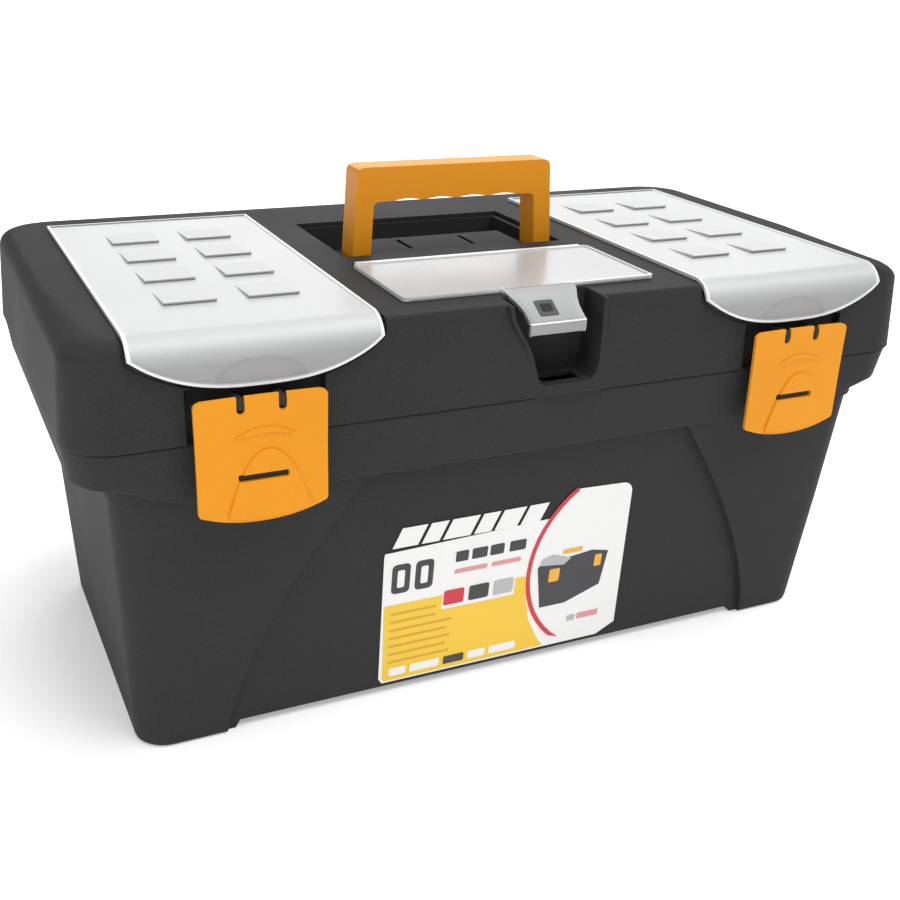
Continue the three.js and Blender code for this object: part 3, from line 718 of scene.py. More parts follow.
def build_organizer_cover(name, side):
    middle = side * ORGANIZER_MIDDLE
    cover = cover_shell(name, middle)
    shift = 0.0015
    for column in (-TILE_COLUMN, TILE_COLUMN):
        for row in range(TILES):
            join(cover, louvre(middle + column - side * shift, TILE_FRONT - TILE_PITCH * row))
    join(cover, hinge_barrel(middle, BIN_HALF, ORGANIZER_HINGE))
    return soften(cover, 0.00035, 2, 40)


# ---------- centre cover ----------

def tab_grid():
    """The centre cover's tab: a strip that runs forward and down from the plate, with a lip at its end."""
    path = [(CENTRE_FRONT + 0.004, 0.2695), (CENTRE_FRONT, 0.2695), (CENTRE_FRONT - 0.0023, 0.2690)]
    path += [(CENTRE_FRONT - 0.0058, 0.2675), (-0.1345, 0.2639), (-0.1400, 0.2607), (-0.1445, 0.2581)]
    path += [(-0.1468, 0.2567), (-0.1478, 0.2560), (-0.1490, 0.2556), (-0.1496, 0.2549), (-0.1496, 0.2500)]
    path += [(-0.1492, 0.2485), (-0.1484, 0.2480)]
    outer, inner = [], []
    for step in range(17):
        share = -1 + step / 8
        for index, (y, z) in enumerate(path):
            down = smoothstep(-y, 0.122, 0.147)
            half = TAB_TOP_HALF + (TAB_LOW_HALF - TAB_TOP_HALF) * math.sin(down * math.pi / 2)
            y0, z0 = path[max(0, index - 1)]
            y1, z1 = path[min(len(path) - 1, index + 1)]
            run = math.hypot(y1 - y0, z1 - z0)
            normal = (-(z0 - z1) / run, (y0 - y1) / run)
            rib = 0.0005 if abs(share) > 0.9 else 0.0
            x = TAB_MIDDLE + share * half
            outer.append((x, y + normal[0] * rib, z + normal[1] * rib))
            inner.append((x, y - normal[0] * TAB_THICK, z - normal[1] * TAB_THICK))
    return grid_shell("tab", outer, inner, len(path))


def centre_outline(inset):
    back = CENTRE_HINGE - COVER_CLEAR - inset
    half = CENTRE_HALF - inset
    return rounded_outline(-half, half, CENTRE_FRONT + inset, back, 0.002 if inset else 0.0035)


def build_centre_cover():
    plate = along_z(centre_outline(0.0), COVER_LOW, CENTRE_TOP)
    plate.name = "visual_centre_cover"
    inner = CENTRE_BIN_HALF - 0.0005
    join(plate, block(-inner, inner, CENTRE_HINGE - 0.01, CENTRE_HINGE + 0.0012, COVER_LOW, CENTRE_TOP))
    rim = along_z(centre_outline(0.0), CENTRE_TOP - 0.0006, CENTRE_RIM_TOP)
    cut(rim, along_z(centre_outline(0.0020), 0.26, 0.28))
    join(plate, rim)
    join(plate, tab_grid())
    join(plate, hinge_barrel(0.0, CENTRE_BIN_HALF, CENTRE_HINGE))
    return soften(plate, 0.0003, 2, 40)


def tab_plate(name, half_x, half_y, lift):
    """A small rounded plate lying in the tab's slope."""
    slope = math.atan2(0.2639 - 0.2581, 0.1445 - 0.1345)
    plate = along_z(rounded_outline(-half_x, half_x, -half_y, half_y, 0.0008), lift - 0.0008, lift)
    plate.name = name
    place = Matrix.Translation((-0.0012, -0.1392, 0.2612)) @ Matrix.Rotation(slope, 4, "X")
    plate.data.transform(place)
    return soften(plate, 0.0002, 2, 40)


# ---------- latches ----------

def latch_outline():
    points = [(LATCH_HALF - 0.0015, LATCH_TOP - 0.0012), (LATCH_HALF, LATCH_TOP - 0.0030)]
    points += [(LATCH_HALF - 0.0003, 0.205), (LATCH_HALF - 0.0003, LATCH_ENDS + 0.0015)]
    low = []
    steps = 18
    for step in range(steps + 1):
        share = 1 - 2 * step / steps
        z = LATCH_LOW + (LATCH_ENDS - LATCH_LOW) * abs(share) ** 2.2
        low.append((share * (LATCH_HALF - 0.0012), z))
    left = [(-x, z) for x, z in reversed(points)]
    crown = []
    for step in range(9):
        share = -1 + step / 4
        crown.append((share * (LATCH_HALF - 0.004), LATCH_TOP - 0.0004 * abs(share) ** 2))
    return crown + points + low + left


def raised_arch(x, z0, z1, half, power, thick, rise):
    """A plate on the latch's face with an arched top edge."""
    points = []
    steps = 20
    for step in range(steps + 1):
        share = -1 + 2 * step / steps
        points.append((x + share * half, z0 + (z1 - z0) * (1 - abs(share) ** power)))
    return along_y(points, LATCH_FRONT - rise + LATCH_ARCH_RISE, LATCH_FRONT + thick)


def build_latch(name, side):
    x = side * LATCH_X
    outline = [(x + u, v) for u, v in latch_outline()]
    front = LATCH_FRONT + LATCH_ARCH_RISE
    body = along_y(outline, front, LATCH_FRONT + LATCH_THICK)
    body.name = name
    arch = raised_arch(x + 0.003, LATCH_LOW - 0.002, 0.2052, 0.0250, 2.2, 0.003, 0.0011)
    inner = [(x + u * 0.97, v + 0.0018) for u, v in latch_outline()]
    overlap_of(arch, along_y(inner, -FAR, -0.10))
    join(body, arch)
    crescent = []
    for way, low, bow in ((1, 0.2128, 0.0052), (-1, 0.2122, 0.0026)):
        for step in range(15):
            share = way * (step / 7 - 1)
            crescent.append((x + 0.001 + share * 0.0165, low + bow * (1 - share * share)))
    join(body, along_y(crescent, LATCH_FRONT + 0.0004, LATCH_FRONT + 0.003))
    for ear in (-1, 1):
        at = x + ear * EAR_OFFSET
        slot = rounded_outline(at - 0.0022, at + 0.0022, LATCH_TOP - 0.0095, 0.26, 0.0021, 5)
        cut(body, along_y(slot, -FAR, -0.10))
    slot = rounded_outline(x - 0.0140, x + 0.0140, CATCH_Z - 0.0020, CATCH_Z + 0.0020, 0.0012, 4)
    cut(body, along_y(slot, -FAR, -0.10))
    bar = rod_x(0.0018, x - 0.0160, x + 0.0160, LATCH_PIVOT_Y, LATCH_PIVOT_Z, 16)
    join(body, bar)
    return soften(body, 0.0006, 3, 34)


# ---------- handle ----------

def handle_outline():
    rise = HANDLE_TOP - HANDLE_PIVOT_Z
    lean = (HANDLE_HALF - HANDLE_TOP_HALF) / rise
    foot = HANDLE_FOOT
    low = HANDLE_TOP - BEAM_HEIGHT

    def outer(z):
        return HANDLE_HALF - lean * max(0.0, z - HANDLE_PIVOT_Z)

    radius = 0.0040
    right = [(outer(foot), foot), (outer(HANDLE_TOP) + 0.0002, HANDLE_TOP - radius)]
    top = outer(HANDLE_TOP)
    right += [(top - 0.0010, HANDLE_TOP - 0.0012), (top - radius, HANDLE_TOP)]
    left = [(-x, z) for x, z in reversed(right)]
    inner = outer(low) - LEG_WIDTH
    underside = [(-outer(foot) + LEG_WIDTH, foot), (-inner, low - 0.0022), (-inner + 0.0022, low)]
    steps = 48
    grip = 0.047
    for step in range(steps + 1):
        share = -1 + 2 * step / steps
        wave = 0.00055 * (1 - math.cos(share * 4 * math.pi))
        ends = smoothstep(1 - abs(share), 0.0, 0.12)
        underside.append((share * grip, low + 0.0004 + wave * ends))
    underside += [(inner - 0.0022, low), (inner, low - 0.0022), (outer(foot) - LEG_WIDTH, foot)]
    return left + underside + right


def build_handle():
    front = HANDLE_PIVOT_Y - LEG_DEPTH / 2
    handle = along_y(handle_outline(), front, front + LEG_DEPTH)
    handle.name = "visual_handle"
    side = [(front, 0.32), (front, HANDLE_PIVOT_Z)]
    side += arc((HANDLE_PIVOT_Y, HANDLE_PIVOT_Z), LEG_DEPTH / 2, 180, 360, 16)
    side += [(front + LEG_DEPTH, 0.33), (front, 0.33)]
    overlap_of(handle, along_x(side, -0.1, 0.1))
    for end in (-1, 1):
        x0, x1 = sorted((end * (HANDLE_HALF - HANDLE_STUB), end * (HANDLE_HALF + HANDLE_STUB)))
        join(handle, rod_x(0.0034, x0, x1, HANDLE_PIVOT_Y, HANDLE_PIVOT_Z))
    return soften(handle, 0.0018, 4, 40)


# ---------- tray ----------

def tray_half(z, inset=0.0):
    x, y = wall_half(z, WALL + 0.0015 + inset)
    return x, y - PANEL_DEPTH


def build_tray():
    rings = fillet_rings(tray_half, 0.016, TRAY_LOW, (0, 45, 90))
    under = TRAY_FLANGE_LOW - 0.0011
    rings.append(ring(tray_half(under), 0.016, under))
    edge = ((0.0030, 0.0, 0.020), (0.0006, 0.0, 0.0225), (0.0, 0.0006, 0.023), (0.0, 0.0023, 0.023))
    for inset, up, radius in edge + ((0.0007, TRAY_TOP - TRAY_FLANGE_LOW, 0.0225),):
        half = (TRAY_FLANGE[0] - inset, TRAY_FLANGE[1] - inset)
        rings.append(ring(half, radius, TRAY_FLANGE_LOW + up))
    rings.append(ring(tray_half(TRAY_TOP, 0.0014), 0.0145, TRAY_TOP))
    rings.append(ring(tray_half(TRAY_TOP, 0.0022), 0.0138, TRAY_TOP - 0.0008))
    for back, up in ((0.0022, 0.0050), (0.0030, 0.0030), (0.0048, 0.0022)):
        z = TRAY_LOW + up
        rings.append(ring(tray_half(z, back), 0.0138 - (back - 0.0022), z))
    return smooth(ring_loft("visual_tray", rings), 50)


# ---------- label ----------

def on_panel(x, z, lift):
    """A point on the sunk panel's face, lifted off it."""
    return (x, wall_face(z) + PANEL_DEPTH - lift, z)


def label_patch(name, outline, level):
    """A thin film on the panel, at its level in the stack of printed fields."""
    low = 0.00030 if level == 0 else 0.00040 + 0.00012 * level
    high = 0.00045 + 0.00012 * level
    return prism(name, outline, lambda x, z: on_panel(x, z, low), lambda x, z: on_panel(x, z, high))


def label_arc(offset):
    """The left boundary of the label's tall right part, from the top down."""
    return arc((0.0853, 0.0735), 0.0765 + offset, 128, 232, 16)


def plate_outline(x, width, low, high, radius=0.001, steps=2):
    return rounded_outline(x, x + width, low, high, radius, steps)


def label_sheet():
    sheet = [(LABEL_LEFT + 0.004, LABEL_LOW), (LABEL_RIGHT - 0.012, LABEL_LOW), (LABEL_RIGHT + 0.002, 0.0165)]
    sheet += arc((LABEL_RIGHT - 0.0105, LABEL_HIGH - 0.0080), 0.0080, 0, 90, 6)
    sheet += [point for point in label_arc(0.0) if point[1] > 0.112]
    return sheet + [(LABEL_LEFT + 0.0005, 0.1105), (LABEL_LEFT, 0.108), (LABEL_LEFT + 0.0015, 0.0125)]


def label_field():
    field = [(LABEL_LEFT + 0.0020, 0.0705), (LABEL_LEFT + 0.0040, 0.0115), (LABEL_LEFT + 0.0060, 0.0098)]
    field += [(0.0270, 0.0098), (0.0215, 0.0180), (0.0130, 0.0350), (0.0085, 0.0560), (0.0075, 0.0720)]
    return field + [(-0.0010, 0.0720), (-0.0010, 0.0590), (-0.0540, 0.0590), (-0.0540, 0.0705)]


def label_stripe():
    outer = [point for point in label_arc(0.0020) if point[1] > 0.012]
    inner = [point for point in label_arc(-0.0012) if point[1] > 0.012]
    return outer + list(reversed(inner))


def numbered(word, film, level, outlines):
    return [(f"label_{word}_{index + 1}", film, level, outline) for index, outline in enumerate(outlines)]


def label_bars():
    """Slanted blank bars where the title stands."""
    low, high, slant = 0.1135, 0.1275, 0.006
    bars = [(-0.0915, 0.017), (-0.0720, 0.012), (-0.0575, 0.019), (-0.0360, 0.012)]
    bars += [(-0.0215, 0.016), (-0.003, 0.014)]
    outlines = []
    for x, width in bars:
        outlines.append([(x, low), (x + width, low), (x + width + slant, high), (x + slant, high)])
    return numbered("title", "white", 1, outlines)


def label_frames():
    """Two plain rounded frames where the size stands."""
    places = (-0.0905, -0.0745)
    width, margin = 0.0125, 0.0038
    frames = [plate_outline(x, width, 0.0790, 0.1010, 0.003, 3) for x in places]
    gaps = [plate_outline(x + margin, width - 2 * margin, 0.0835, 0.0965) for x in places]
    return numbered("size", "ink_and_shade", 1, frames) + numbered("size_gap", "white", 2, gaps)


def label_views():
    """Three small fields where the label shows the box in use."""
    shapes = []
    for index, film in enumerate(("red", "ink_and_shade", "grey")):
        outline = plate_outline(-0.0530 + 0.018 * index, 0.0145, 0.0620, 0.0735, 0.0015, 3)
        shapes.append((f"label_view_{index + 1}", film, 2, outline))
    return shapes


def label_lines():
    """Blank bars and hairlines where the small print stands."""
    words = [(-0.0470, 0.009), (-0.0355, 0.011), (-0.0225, 0.010), (-0.0085, 0.012)]
    shapes = numbered("word", "ink_and_shade", 1, [plate_outline(*word, 0.0945, 0.1025) for word in words])
    lines = [(-0.0470, 0.0235), (-0.0205, 0.0215)]
    shapes += numbered("line", "pink", 1, [plate_outline(*line, 0.0855, 0.0890) for line in lines])
    hairlines = []
    for index in range(7):
        z = 0.0640 - 0.0064 * index
        right_end = -0.0580 if index < 2 else -0.0460 - 0.003 * (index % 2)
        hairlines.append(rounded_outline(-0.0895, right_end, z - 0.0017, z, 0.0004, 2))
    shapes += numbered("text", "ochre", 2, hairlines)
    marks = ((-0.0880, 0.0120), (-0.0730, 0.0210), (-0.0490, 0.0150), (-0.0310, 0.0130), (-0.0150, 0.0200))
    for index, (x, width) in enumerate(marks):
        film = "ink_and_shade" if index == 2 else "white"
        shapes.append((f"label_mark_{index + 1}", film, 2, plate_outline(x, width, 0.0130, 0.0195)))
    return shapes


def label_picture():
    """A plain drawing of a box in flat shapes."""
    box = [(0.0205, 0.0430), (0.0400, 0.0430), (0.0660, 0.0530), (0.0690, 0.0800), (0.0560, 0.0830)]
    box += [(0.0160, 0.0780), (0.0150, 0.0760)]
    lid = [(0.0160, 0.0780), (0.0350, 0.0755), (0.0400, 0.0800), (0.0260, 0.0850), (0.0180, 0.0830)]
    return [
        ("label_picture_box", "ink_and_shade", 1, box),
        ("label_picture_lid", "grey", 2, lid),
        ("label_picture_latch_1", "orange", 2, plate_outline(0.0245, 0.0080, 0.0630, 0.0735)),
        ("label_picture_latch_2", "orange", 2, plate_outline(0.0590, 0.0055, 0.0690, 0.0785)),
        ("label_picture_handle", "orange", 2, plate_outline(0.0330, 0.0150, 0.0840, 0.0875)),
        ("label_foot_1", "grey", 1, plate_outline(0.0440, 0.0065, 0.0260, 0.0310, 0.0008)),
        ("label_foot_2", "pink", 1, plate_outline(0.0520, 0.0170, 0.0262, 0.0312, 0.0008)),
    ]


def label_shapes():
    """(name, film, level, outline) for each printed field."""
    shapes = [
        ("label_sheet", "white", 0, label_sheet()),
        ("label_field", "yellow", 1, label_field()),
        ("label_stripe", "red", 2, label_stripe()),
    ]
    return shapes + label_bars() + label_frames() + label_views() + label_lines() + label_picture()


# ---------- materials ----------

class Graph:
    """A material's node tree, with the few nodes that the materials here are made of."""

    def __init__(self, name):
        self.material = bpy.data.materials.new(name)
        self.material.use_nodes = True
        self.nodes = self.material.node_tree.nodes
        self.links = self.material.node_tree.links
        self.shader = self.nodes["Principled BSDF"].inputs
        self.place = self.nodes.new("ShaderNodeTexCoord").outputs["Object"]

    def feed(self, value, socket):
        """Sets a shader socket to a number, or links it to an output."""
        if isinstance(value, float):
            self.shader[socket].default_value = value
        else:
            self.links.new(value, self.shader[socket])

    def noise(self, vector, scale, detail=2.0):
        node = self.nodes.new("ShaderNodeTexNoise")
        node.inputs["Scale"].default_value = scale
        node.inputs["Detail"].default_value = detail
        self.links.new(vector, node.inputs["Vector"])
        return node.outputs["Fac"]

    def stretched(self, scale, turn=(0.0, 0.0, 0.0)):
        """Coordinates drawn out along one direction, for hairlines."""
        node = self.nodes.new("ShaderNodeMapping")
        node.inputs["Rotation"].default_value = turn
        node.inputs["Scale"].default_value = scale
        self.links.new(self.place, node.inputs["Vector"])
        return node.outputs["Vector"]

    def remap(self, value, low, high, from_low=0.3, from_high=0.7):
        node = self.nodes.new("ShaderNodeMapRange")
        node.inputs["From Min"].default_value = from_low
        node.inputs["From Max"].default_value = from_high
        node.inputs["To Min"].default_value = low
        node.inputs["To Max"].default_value = high
        self.links.new(value, node.inputs["Value"])
        return node.outputs["Result"]

    def mix(self, share, first, second):
        node = self.nodes.new("ShaderNodeMix")
        node.data_type = "RGBA"
        colours = {socket.name: socket for socket in node.inputs if socket.type == "RGBA"}
        for name, value in (("A", first), ("B", second)):
            if isinstance(value, tuple):
                colours[name].default_value = (*value, 1.0)
            else:
                self.links.new(value, colours[name])
        factor = [s for s in node.inputs if s.name == "Factor" and s.type == "VALUE"][0]
        self.links.new(share, factor)
        return [s for s in node.outputs if s.type == "RGBA"][0]

    def bump(self, height, strength, distance):
        node = self.nodes.new("ShaderNodeBump")
        node.inputs["Strength"].default_value = strength
        node.inputs["Distance"].default_value = distance
        self.links.new(height, node.inputs["Height"])
        self.feed(node.outputs["Normal"], "Normal")


def plastic(name, tones, edge_highlight, rough, grain_scale, grain_height, scratches):
    """Moulded plastic: mottled tone, fine grain and hairline scratches.

    The tones are the common one, a darker and a paler one; the third argument lifts all tones and is over 1
    for the lighter twin on the rounded edges, a painted highlight.
    """
    # over 1, the third argument lifts the palette for the painted edge highlight
    tone, dark, pale = [tuple(min(0.95, value * edge_highlight) for value in each) for each in tones]
    graph = Graph(name)
    broad = graph.noise(graph.place, 9.0, 3.0)
    fine = graph.noise(graph.place, grain_scale)
    hair = graph.noise(graph.stretched((18.0, 420.0, 420.0), (0.2, 0.15, 0.6)), 1.0, 1.0)
    colour = graph.mix(graph.remap(broad, 0.0, 1.0), dark, tone)
    colour = graph.mix(graph.remap(fine, 0.0, 0.35), colour, pale)
    colour = graph.mix(graph.remap(hair, 0.0, scratches, 0.66, 0.74), colour, pale)
    graph.feed(colour, "Base Color")
    graph.feed(graph.remap(broad, rough - 0.05, rough + 0.06), "Roughness")
    graph.bump(fine, 0.45, grain_height)
    return graph


def dark_plastic(name, edge_highlight=1.0):
    tones = ((0.029, 0.029, 0.030), (0.024, 0.024, 0.0245), (0.050, 0.050, 0.052))
    rough = 0.66 - 0.10 * (edge_highlight - 1.0)
    graph = plastic(name, tones, edge_highlight, rough, 900.0, 0.00014, 0.10)
    graph.feed(0.14 * edge_highlight, "Specular IOR Level")
    return graph.material


def orange_plastic(name, edge_highlight=1.0):
    tones = ((0.80, 0.300, 0.006), (0.76, 0.275, 0.005), (0.86, 0.36, 0.020))
    graph = plastic(name, tones, edge_highlight, 0.42, 700.0, 0.00006, 0.05)
    graph.feed(0.22, "Specular IOR Level")
    graph.feed(0.06, "Subsurface Weight")
    graph.shader["Subsurface Radius"].default_value = (0.004, 0.002, 0.001)
    graph.feed(0.5, "Subsurface Scale")
    return graph.material


def let_light_through_with_painted_shade(graph, share, low, high, factor):
    """See-through plastic: some transmission, and a painted shade that darkens the tone below a height,
    standing for the shade on the parts that turn down and for the dark lid behind them.
    """
    split = graph.nodes.new("ShaderNodeSeparateXYZ")
    graph.links.new(graph.place, split.inputs["Vector"])
    plain = graph.shader["Base Color"].links[0].from_socket
    # painted shade: share of the tone kept, from the given share at the low height up to all of it at the
    # high one
    depth = graph.remap(split.outputs["Z"], factor, 1.0, low, high)
    graph.feed(graph.mix(depth, (0.0, 0.0, 0.0), plain), "Base Color")
    graph.feed(share, "Transmission Weight")
    graph.feed(1.49, "IOR")
    return graph.material


def frosted_plastic(name, edge_highlight=1.0):
    tones = ((0.60, 0.605, 0.61), (0.57, 0.575, 0.58), (0.68, 0.685, 0.69))
    graph = plastic(name, tones, edge_highlight, 0.38, 900.0, 0.00004, 0.06)
    # painted shade: the tone darkens down the bend to 62 % on the flap
    low, high = COVER_FACE - COVER_BEND, COVER_FACE - COVER_BEND / 4
    return let_light_through_with_painted_shade(graph, 0.10, low, high, 0.62)


def clear_plastic(name, edge_highlight=1.0):
    tones = ((0.54, 0.545, 0.55), (0.50, 0.505, 0.51), (0.62, 0.625, 0.63))
    graph = plastic(name, tones, edge_highlight, 0.26, 900.0, 0.00003, 0.06)
    # painted shade: the tone darkens down the tab to 70 % at its foot
    return let_light_through_with_painted_shade(graph, 0.22, 0.256, COVER_FACE - 0.001, 0.70)


def steel(name):
    """Drawn wire."""
    graph = Graph(name)
    drawn = graph.noise(graph.stretched((60.0, 2400.0, 2400.0)), 1.0)
    graph.feed(graph.mix(drawn, (0.42, 0.43, 0.44), (0.66, 0.67, 0.68)), "Base Color")
    graph.feed(graph.remap(drawn, 0.22, 0.42), "Roughness")
    graph.feed(1.0, "Metallic")
    return graph.material


def print_and_shade_film(name, tone):
    """Printed film, and the same film as painted shade: a slight print mottle and a soft sheen."""
    graph = Graph(name)
    speck = graph.noise(graph.place, 1600.0)
    broad = graph.noise(graph.place, 30.0)
    darker = tuple(value * 0.86 for value in tone)
    graph.feed(graph.mix(graph.remap(speck, 0.0, 0.5), tone, darker), "Base Color")
    graph.feed(graph.remap(broad, 0.30, 0.42), "Roughness")
    graph.bump(broad, 0.12, 0.0002)
    return graph.material


# Near-white tone for the covers' raised rims and the tab's lip: a painted highlight on the frosted plastic
def rim_highlight_plastic(name):
    tones = ((0.84, 0.845, 0.85), (0.80, 0.805, 0.81), (0.90, 0.90, 0.905))
    graph = plastic(name, tones, 1.0, 0.32, 900.0, 0.00003, 0.03)
    graph.feed(0.05, "Transmission Weight")
    return graph.material


def floor_material():
    graph = Graph("studio_floor")
    soft = graph.noise(graph.place, 3.0)
    graph.feed(graph.mix(soft, (0.86, 0.86, 0.86), (0.88, 0.88, 0.88)), "Base Color")
    graph.feed(0.9, "Roughness")
    graph.shader["Emission Color"].default_value = (1.0, 1.0, 1.0, 1.0)
    graph.feed(0.34, "Emission Strength")
    return graph.material


def paint(obj, material):
    """Fills the face slot, and the edge slot of a softened piece with the material's lighter twin, a painted
    highlight on the rounded edges.
    """
    slots = obj.data.materials
    if len(slots) == 2:
        slots[0] = material
        slots[1] = EDGE_HIGHLIGHTS.get(material.name, material)
    else:
        slots.clear()
        slots.append(material)


# ---------- assembly ----------

SHELL = dark_plastic("shell_plastic")
INSERT = dark_plastic("insert_plastic")
ORANGE = orange_plastic("orange_plastic")
FROSTED = frosted_plastic("frosted_plastic")
CLEAR = clear_plastic("clear_plastic")
RIM_HIGHLIGHT = rim_highlight_plastic("rim_highlight_plastic")
# Dark film on the faces under the tiles' lips: a painted shadow that deepens the undercut's own shade
LOUVRE_SHADE = print_and_shade_film("louvre_shade", (0.16, 0.16, 0.165))
STEEL = steel("pin_steel")
# Lighter, glossier twins for the rounded edge strips: their lifted tone is a painted highlight
EDGE_HIGHLIGHTS = {
    "shell_plastic": dark_plastic("shell_edge_highlight", 1.7),
    "insert_plastic": dark_plastic("insert_edge_highlight", 1.7),
    "orange_plastic": orange_plastic("orange_edge_highlight", 1.12),
    "frosted_plastic": frosted_plastic("frosted_edge_highlight", 1.15),
    "clear_plastic": clear_plastic("clear_edge_highlight", 1.15),
}
FILMS = {
    "white": print_and_shade_film("film_white", (0.86, 0.86, 0.85)),
    "yellow": print_and_shade_film("film_yellow", (0.88, 0.56, 0.03)),
    "red": print_and_shade_film("film_red", (0.62, 0.02, 0.04)),
    # the black film serves the label's print, and as painted shade in the tab's window
    "ink_and_shade": print_and_shade_film("film_ink_and_shade", (0.03, 0.03, 0.035)),
    "grey": print_and_shade_film("film_grey", (0.45, 0.46, 0.48)),
    "pink": print_and_shade_film("film_pink", (0.70, 0.30, 0.30)),
    "ochre": print_and_shade_film("film_ochre", (0.66, 0.38, 0.02)),
    "orange": print_and_shade_film("film_orange", (0.86, 0.42, 0.03)),
}


def add(obj, body, material, slot, *nodes):
    paint(obj, material)
    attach(obj, body)
    if nodes:
        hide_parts(*nodes)
    return obj


def paint_where(obj, material, test):
    """Gives a second material to the faces that pass a test of their centre and normal."""
    obj.data.materials.append(material)
    index = len(obj.data.materials) - 1
    for face in obj.data.polygons:
        if test(face.center, face.normal):
            face.material_index = index


# The faces of a cover's raised rim, which take the near-white painted highlight
def organizer_rim(middle):
    def test(centre, normal):
        x = centre.x - middle
        side = abs(x) > ORGANIZER_HALF - 0.0021
        rear = centre.y > 0.1155 and normal.z > 0.3
        low = centre.y < -0.13 and centre.z < flap_low(x) + 0.0019
        return side or rear or low

    return test


# Faces under the tiles' lips, which take the painted shadow
def louvre_undercut(centre, normal):
    over = COVER_FACE + TILE_RISE - 0.00065
    return normal.y < -0.5 and COVER_FACE + 0.0002 < centre.z < over and centre.y > -0.12


# The centre cover's rim and tab lip, which take the near-white painted highlight
def centre_rim(centre, normal):
    side = abs(centre.x) > CENTRE_HALF - 0.0021
    beside_tab = abs(centre.x - TAB_MIDDLE) > 0.022
    front = beside_tab and CENTRE_FRONT - 0.0012 < centre.y < CENTRE_FRONT + 0.0021
    rear = -0.0425 < centre.y and centre.z > 0.2689
    lip = centre.y < -0.1487 and centre.z > 0.2530
    return side or front or rear or lip


def keep_cad(name, material, width=0.0006):
    """A CAD node that stays: it gets its material and softened edges."""
    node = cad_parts[name]
    bevel_edges(node, width, 2, 40)
    paint(node, material)
    node.data.shade_smooth()
    weight_normals(node)


def build_label():
    for name, key, level, outline in label_shapes():
        patch = label_patch(name, outline, level)
        replaced = ("front_label",) if name == "label_sheet" else ()
        add(patch, "base", FILMS[key], "label_film", *replaced)


def build_pieces():
    add(build_base(), "base", SHELL, "dark_shell", "base_shell")
    seats = ("lid_skirt", "notch_pocket", "latch_seat_left", "latch_seat_right")
    add(build_lid(), "lid", SHELL, "dark_shell", "lid_shell", *seats)
    add(build_tray(), "tray", INSERT, "dark_insert", "tray")
    add(build_handle(), "handle", ORANGE, "orange_fitting", "carry_handle")
    centre = add(build_centre_cover(), "centre_cover", CLEAR, "clear_cover", "centre_cover")
    paint_where(centre, RIM_HIGHLIGHT, centre_rim)
    # A black sheet in the tab's window: painted shade for the dark inside the opening; the pad on it is the
    # lighter middle
    add(tab_plate("visual_tab_window_shade", 0.0062, 0.0062, 0.0005), "centre_cover", FILMS["ink_and_shade"], "dark_insert")
    add(tab_plate("visual_tab_pad", 0.0036, 0.0030, 0.0009), "centre_cover", INSERT, "dark_insert")
    for word, side in (("left", -1), ("right", 1)):
        latch = build_latch(f"visual_latch_{word}", side)
        add(latch, f"latch_{word}", ORANGE, "orange_fitting", f"latch_{word}")
        cover = build_organizer_cover(f"visual_organizer_cover_{word}", side)
        add(cover, f"organizer_cover_{word}", FROSTED, "frosted_cover", f"organizer_cover_{word}")
        paint_where(cover, RIM_HIGHLIGHT, organizer_rim(side * ORGANIZER_MIDDLE))
        paint_where(cover, LOUVRE_SHADE, louvre_undercut)
        for kind in ("hinge_base", "hinge_lid", "latch_catch", "organizer_bin"):
            keep_cad(f"{kind}_{word}", SHELL)
        keep_cad(f"hinge_pin_{word}", STEEL, 0.0003)
        for index in (1, 2):
            keep_cad(f"organizer_divider_{word}_{index}", INSERT, 0.0004)
    for name in ("centre_bin", "handle_well"):
        keep_cad(name, SHELL)
    for place in ("front", "back"):
        for index in (1, 2):
            keep_cad(f"tray_divider_{place}_{index}", INSERT, 0.0004)
    keep_cad("tray_grip", ORANGE, 0.0010)
    build_label()


# ---------- stage ----------

def build_floor():
    floor = block(-30.0, 30.0, -30.0, 30.0, -0.02, -0.0001)
    floor.name = "studio_floor"
    paint(floor, floor_material())


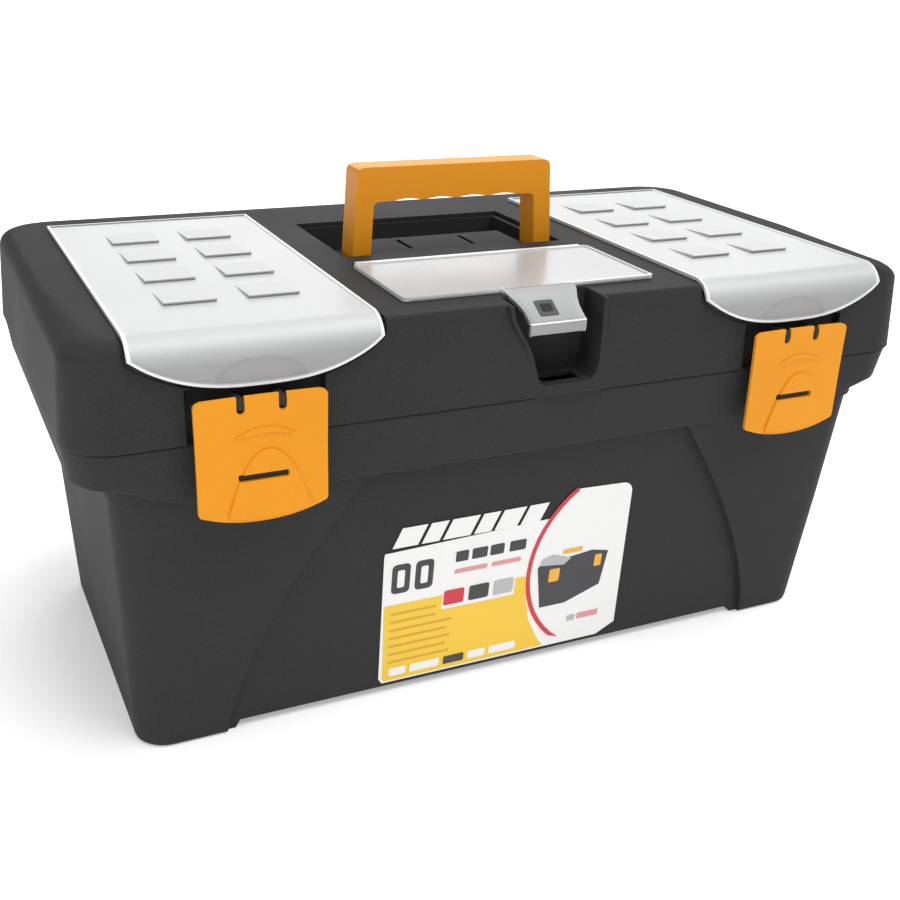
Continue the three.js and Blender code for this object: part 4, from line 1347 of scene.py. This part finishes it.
def place_light(name, kind, direction):
    """A light whose rays come from a direction."""
    data = bpy.data.lights.new(name, kind)
    light = bpy.data.objects.new(name, data)
    light.rotation_euler = Vector(direction).to_track_quat("Z", "Y").to_euler()
    bpy.context.scene.collection.objects.link(light)
    return light, data


def build_light(name, place, size, energy):
    aim = Vector((0.0, 0.0, 0.12))
    light, data = place_light(name, "AREA", Vector(place) - aim)
    light.location = place
    data.shape = "RECTANGLE"
    data.size, data.size_y = size
    data.energy = energy


def build_sun(name, direction, spread, strength):
    _, data = place_light(name, "SUN", direction)
    data.angle = math.radians(spread)
    data.energy = strength


def build_world():
    world = bpy.data.worlds.new("studio")
    world.use_nodes = True
    background = world.node_tree.nodes["Background"]
    background.inputs["Color"].default_value = (1.0, 1.0, 1.0, 1.0)
    background.inputs["Strength"].default_value = 0.38
    bpy.context.scene.world = world


def build_camera():
    yaw, pitch, roll = 0.451, 0.403, 0.036
    focal_pixels, picture_width, sensor = 1199.744, 900, 36.0
    forward = Vector((math.sin(yaw) * math.cos(pitch), math.cos(yaw) * math.cos(pitch), -math.sin(pitch)))
    level = Vector((math.cos(yaw), -math.sin(yaw), 0.0))
    up = level.cross(forward)
    right = level * math.cos(roll) + up * math.sin(roll)
    above = up * math.cos(roll) - level * math.sin(roll)
    data = bpy.data.cameras.new("camera")
    data.sensor_width = sensor
    data.lens = focal_pixels / picture_width * sensor
    camera = bpy.data.objects.new("camera", data)
    turn = Matrix((right, above, -forward)).transposed().to_4x4()
    camera.matrix_world = Matrix.Translation((-0.3455, -0.7277, 0.4584)) @ turn
    bpy.context.scene.collection.objects.link(camera)
    bpy.context.scene.camera = camera


build_pieces()
build_floor()
build_world()
build_sun("sun", (0.3, -0.32, 1.0), 50.0, 2.3)
build_light("corner", (-1.3, -0.45, 0.45), (0.25, 0.7), 2.4)
build_light("top", (0.2, 0.2, 1.5), (1.2, 0.8), 4.0)
build_light("rear", (0.7, 1.5, 1.0), (1.8, 0.9), 9.0)
build_camera()
bpy.context.scene.view_settings.view_transform = "Standard"
